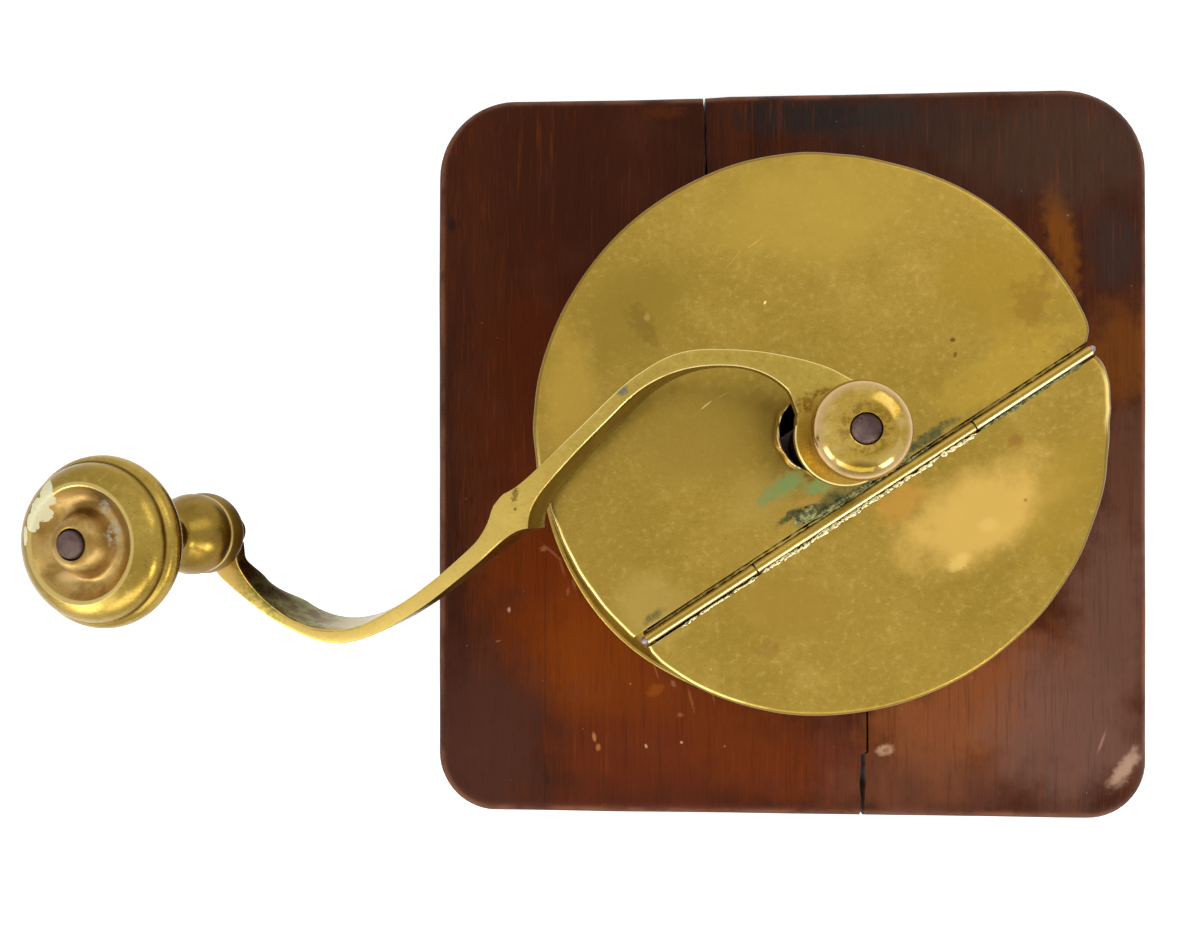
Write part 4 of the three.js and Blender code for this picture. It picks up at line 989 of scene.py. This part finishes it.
def hinge():
    """The hinge: fixed and moving knuckles, the pin, and the solder that holds them."""
    half, middle, gap = HINGE["half"], HINGE["middle"], 0.15
    leaf_end, beyond = half - 6.5, 70
    left = knuckle("hinge_fixed_knuckles", -half + 1, -middle - gap, 1)
    combine(left, [knuckle("hinge_right", middle + gap, half, 1)], "UNION")
    hole_at = HINGE_PLACE.inverted() @ LID_PLACE @ Vector(HOLE_CENTRE)
    notch_at = HINGE_PLACE @ Matrix.Translation((hole_at.x, hole_at.y, 0))
    cutters = [cylinder("notch", 10.4, -6, -0.1, 48, notch_at)]
    for start, end in ((-beyond, -leaf_end), (leaf_end, beyond)):
        cutters.append(prism("leaf_end", rectangle(start, 1.5, end, 9), -3, 3, HINGE_PLACE))
    combine(left, cutters, "DIFFERENCE")
    flap = knuckle("hinge_flap_knuckle", -middle + gap, middle - gap, -1)
    for made, body, node in ((left, "mill", "hinge_leaf_fixed"), (flap, "flap", "hinge_leaf_flap")):
        bevelled(made, 0.1, 1)
        finished(made, hinge_brass, body, "fitting_brass", node)
    head = [(0, 1.4), (0.35, 1.3), (0.7, 1.0), (0.85, 0.6), (0.85, 0.1), (0.55, 0.1)]
    pin = [(r, 1 - half - z) for r, z in head] + [(r, half + z) for r, z in reversed(head)]
    made = round_piece("hinge_pin_round", pin, 20, HINGE_PLACE @ SIDEWAYS)
    finished(made, pin_steel, "mill", "steel", "hinge_pin")
    for name, start, end, y, size, seed, z, metal, body in [
        ("solder_flap", -middle + 0.6, middle - 0.6, -1.6, 0.5, 11, 0.9, solder_bright, "flap"),
        ("solder_left", -half + 9, -middle - 0.6, -1.8, 0.26, 12, 0.7, solder_bright, "flap"),
        ("solder_right", middle + 0.6, half - 3, -1.5, 0.34, 13, 0.75, solder_green, "flap"),
        ("crust", -12, 14, 2.2, 0.42, 14, 0.7, solder_green, "mill"),
        ("seam_left", -half + 2, -14, 1.55, 0.3, 21, 0.5, worn_seam, "mill"),
        ("seam_middle", -14, 18, 1.55, 0.3, 21, 0.5, solder_green, "mill"),
        ("seam_right", 18, half - 1, 1.55, 0.3, 21, 0.5, worn_seam, "mill"),
    ]:
        made = solder("hinge_" + name, start, end, y, size, seed, z)
        finished(made, metal, body, "fitting_brass", angle=70)
    made = lump("solder_lump", (-3.9, -15.8, LID["top"] - 0.1), (3.4, 1.7, 0.8), 33, 15)
    finished(made, solder_green, "mill", "fitting_brass", angle=70)


def bent(x, y, z):
    """A point of the crank arm, bent down beyond its eye as in the CAD."""
    heading, droop = math.radians(BEND["heading"]), math.radians(BEND["droop"])
    c, s = math.cos(heading), math.sin(heading)
    x, y = x * c + y * s, y * c - x * s
    radius = BEND["length"] / droop
    along = x - BEND["start"]
    if along > 0:
        angle = min(along / radius, droop)
        rest = max(along - BEND["length"], 0)
        reach = radius + z
        x = BEND["start"] + reach * math.sin(angle) + rest * math.cos(droop)
        z = reach * math.cos(angle) - radius - rest * math.sin(droop)
    return x * c - y * s, x * s + y * c, z


def arm_strip():
    """The S-shaped strip on edge, with softened edges and a hammered unevenness."""
    line = [Vector(p) for p in spline(ARM_LINE, 8)]
    rings = []
    for i, p in enumerate(line):
        way = (line[min(i + 1, len(line) - 1)] - line[max(i - 1, 0)]).to_2d().normalized()
        away = math.hypot(p.x - DIAMOND["x"], p.y - DIAMOND["y"])
        rise = DIAMOND["rise"] * math.exp(-away / DIAMOND["fade"])
        half = p.z + rise
        blunt = (p.z + min(rise, DIAMOND["blunt"])) / half
        depth = follow(ARM_DEPTH, p.x)
        lean = 1.0 * smooth((p.x - 22) / 14) * smooth((84 - p.x) / 12), 0.9 * smooth((p.x - 92) / 12)
        soft = min(0.45, half * 0.35)
        side = []
        for k in range(4):
            a = math.radians(90 * k / 3)
            side.append((half - soft + soft * math.sin(a), -soft + soft * math.cos(a)))
        ring = side + [(half, -depth * t) for t in (0.3, 0.5, 0.7)]
        ring += [(u, -depth - v) for u, v in reversed(side)]
        ring = [(0, 0.0)] + ring + [(0, -depth)] + [(-u, v) for u, v in reversed(ring)]
        out = []
        for u, v in ring:
            u += 0.12 * rumple((p.x, p.y, v), 7, 14 if u > 0 else 15)
            u *= blunt if u < 0 else 1
            u += (lean[0] if u > 0 else 0) * -v / 12 - (lean[1] if u < 0 else 0) * -v / 12
            v += 0.1 * rumple((p.x, p.y, u), 9, 16) * (abs(u) < p.z)
            out.append(bent(p.x - way.y * u, p.y + way.x * u, v))
        rings.append(out)
    return rings


def crank_arm():
    """The arm: its strip, the eye and cheek at the shaft, and the pad under the knob."""
    made = mesh_object("crank_strip", *lofted(arm_strip()), CRANK_PLACE)
    low = -PAD_DEPTH
    eye = [(0, -4.5), (7.6, -4.5), (8.9, -4), (9.7, -2.9), (9.95, -1.8), (10, -0.8), (9.9, -0.3),
           (9.6, 0), (0, 0)]
    cheek = [(0, -3.2), (3.6, -3.2), (4.2, -2.6), (4.3, -0.4), (4.1, 0), (0, 0)]
    pad = [(0, low), (3, low), (3.6, low + 0.4), (3.7, low + 1), (3.7, -0.5), (3.5, -0.1), (3.2, 0), (0, 0)]
    combine(made, [cylinder("above", 4.2, 0.02, 5, 40, KNOB_PLACE)], "DIFFERENCE")
    combine(made, [
        round_piece("eye", eye, 72, CRANK_PLACE @ Matrix.Translation((0.2, 0, 0))),
        round_piece("cheek", cheek, 48, CRANK_PLACE @ Matrix.Translation((5.2, -3.6, -0.02))),
        round_piece("pad", pad, 56, KNOB_PLACE),
    ], "UNION")
    half, spindle = 3.8, 2.8
    combine(made, [
        prism("way", rectangle(-half, -half, half, half), -14, 2, CRANK_PLACE),
        cylinder("way", spindle, -14, 2, 32, KNOB_PLACE),
    ], "DIFFERENCE")
    finished(made, crank_brass, "crank", "crank_brass", "crank_arm", angle=28)


def turned_pieces():
    """The ball nut, the knob, its spindle and the drawer's knob."""
    nut = [
        (2.82, 0.3, None), (6.6, 0.3, None), (7.1, 0.5), (7.35, 1.2), (7.3, 2), (6.9, 2.7, None),
        (6.6, 3.4), (6.5, 4.6), (6.8, 6.2), (7.8, 8), (8.8, 9.9), (9.25, 11.6), (9.1, 13.1), (8.5, 14.3),
        (7.4, 15.3), (5.9, 16), (4.5, 16.35), (3.3, 16.4), (2.9, 16.25), (2.82, 15.9, None),
    ]
    made = round_piece("ball_finial", spline(nut, 4), 96, CRANK_PLACE)
    finished(made, nut_brass(), "crank", "turned_brass", "ball_nut")
    knob = [
        (2.85, 1.4, None), (5.2, 1.4, None), (5.8, 1.7), (6.9, 2.8), (7.7, 3.9), (8.3, 5), (8.5, 6),
        (8.45, 7.2), (8.25, 8.4), (8, 9.05, None), (8.25, 9.7), (8.35, 10.7), (7.95, 12.4), (6.9, 14.3),
        (5.6, 15.9), (4.6, 17.1), (4.2, 18.1), (4.45, 19.3), (5.5, 21.2), (7.4, 24), (9.5, 27),
        (11.5, 29.8), (13.8, 32.9), (15.3, 34.8), (15.7, 36), (15.35, 37.5), (14.65, 38.25, None),
        (14.4, 38.3, None), (14.3, 38.9), (13.7, 40.1), (12.5, 41.2), (11.3, 41.8), (10.6, 42),
        (10.15, 41.9), (9.7, 41.4), (9.3, 40.9, None), (8.6, 40.2), (7.7, 39.7), (6.9, 39.6), (6.2, 39.9),
        (5.6, 40.8), (5.2, 42), (4.6, 43.2), (3.9, 43.9), (3.2, 44.1), (2.85, 44, None),
    ]
    made = round_piece("knob_turned", spline(knob, 4), 144, KNOB_PLACE)
    finished(made, knob_brass(), "knob", "turned_brass", "knob")
    low = -PAD_DEPTH
    spindle = [(0, low - 0.9), (1.6, low - 0.8), (2.6, low - 0.3), (2.5, low + 0.3), (2.5, 44.1),
               (2.3, 44.6), (1.5, 44.75), (0.9, 44.8), (0, 44.7)]
    made = round_piece("knob_spindle_round", spindle, 40, KNOB_PLACE)
    finished(made, shaft_steel, "crank", "steel", "knob_spindle")
    front, height = -84, 32.75
    post = [
        (0, -12.6), (2, -12.6, None), (2, 0.3, None), (5.1, 0.3, None), (5.3, 0.9), (5, 1.5), (3.4, 2.3),
        (2.9, 3.4), (2.9, 4.4, None), (4.6, 4.9), (6.4, 6.4), (7.35, 8.8), (7.3, 11.2), (6.1, 13.9),
        (4.2, 15.6), (2.2, 16.3), (0, 16.4),
    ]
    forward = Matrix.Translation((0, front, height)) @ Matrix.Rotation(math.pi / 2, 4, "X")
    made = round_piece("drawer_knob_turned", spline(post, 3), 64, forward)
    finished(made, turned_brass, "drawer", "turned_brass", "drawer_knob")


def dress(material, *names):
    """Gives CAD nodes that keep their shape a better material."""
    for name in names:
        own = nodes[name]
        if not own.material_slots:
            own.data.materials.append(material)
        for place in own.material_slots:
            place.material = material


dress(side_wood, "left_wall", "right_wall")
dress(front_wood, "front_wall", "back_wall", "drawer_front")
dress(inner_depth, "left_runner", "right_runner", "drawer_left_side", "drawer_right_side")
dress(inner_across, "drawer_bottom", "drawer_back")
dress(drum_brass, "hopper_funnel")
dress(turned_brass, "drawer_knob_nut", "knob_washer")
dress(fitting_brass, "bridge_screw_left", "bridge_screw_right", "adjuster_lock_nut", "adjuster_screw",
      *[f"foot_nail_{i}" for i in range(1, 7)])
dress(shaft_steel, "crank_shaft", "burr_cotter", *[f"base_screw_{i}" for i in range(1, 5)],
      *[f"housing_screw_{i}" for i in range(1, 5)], "yoke_screw_left", "yoke_screw_right", "top_bridge")
dress(iron, "outer_burr", "inner_burr", "burr_yoke")

top_board()
base_board()
cover_sheet("lid_plate_sheet", 1, "mill", "lid_plate")
cover_sheet("flap_sheet", -1, "flap", "filler_flap")
lid_rim()
drum()
hinge()
crank_arm()
turned_pieces()


def floor():
    """A plain white floor; its glow is seen by the camera, in metal and through glass only."""
    half = 3.0
    mesh = bpy.data.meshes.new("floor")
    mesh.from_pydata([(x, y, 0) for x, y in rectangle(-half, -half, half, half)], [], [(0, 1, 2, 3)])
    s = Shader("floor_white")
    s.colour = (232, 232, 230)
    glow = s.product(s.seen(), 0.55)
    mesh.materials.append(s.done(Roughness=0.9, Emission_Color=(255, 255, 255), Emission_Strength=glow))
    placed("floor", mesh)


def world():
    """Soft studio light from all round, and plain white where the camera sees it."""
    made = bpy.data.worlds.new("studio")
    bpy.context.scene.world = made
    made.use_nodes = True
    made.node_tree.nodes.clear()
    n = Nodes(made.node_tree)
    light, white = (
        n.node("ShaderNodeBackground", {"Color": (255, 255, 255), "Strength": strength}).outputs[0]
        for strength in (0.62, 1.0)
    )
    mixed = n.node("ShaderNodeMixShader", [n.seen(), light, white]).outputs[0]
    n.node("ShaderNodeOutputWorld", {"Surface": mixed})


def lamp(name, place, size, power):
    """A soft rectangular lamp that points at the middle of the mill."""
    data = bpy.data.lights.new(name, "AREA")
    data.shape = "RECTANGLE"
    data.size, data.size_y = size
    data.energy = power
    made = placed(name, data)
    made.location = place
    made.rotation_euler = (Vector((0, 0, 0.12)) - Vector(place)).to_track_quat("-Z", "Y").to_euler()


def camera():
    """The photograph's camera, almost straight above."""
    data = bpy.data.cameras.new("camera")
    data.sensor_width = 36
    data.lens = 28.5
    data.shift_y = 0.035
    data.clip_start, data.clip_end = 0.01, 20
    made = placed("camera", data)
    made.location = (-0.0397, -0.0136, 0.370)
    made.rotation_euler = (0, math.radians(2.6), 0)
    bpy.context.scene.camera = made


floor()
world()
lamp("window", (-0.05, -0.8, 0.6), (0.9, 0.3), 2.4)
lamp("left", (-0.6, -0.46, 0.5), (0.25, 0.25), 1.2)
lamp("right", (0.55, -0.56, 0.5), (0.25, 0.25), 1.4)
lamp("fill", (0.55, 0.5, 0.7), (0.5, 0.5), 1.0)
camera()
bpy.context.scene.view_settings.view_transform = "Standard"
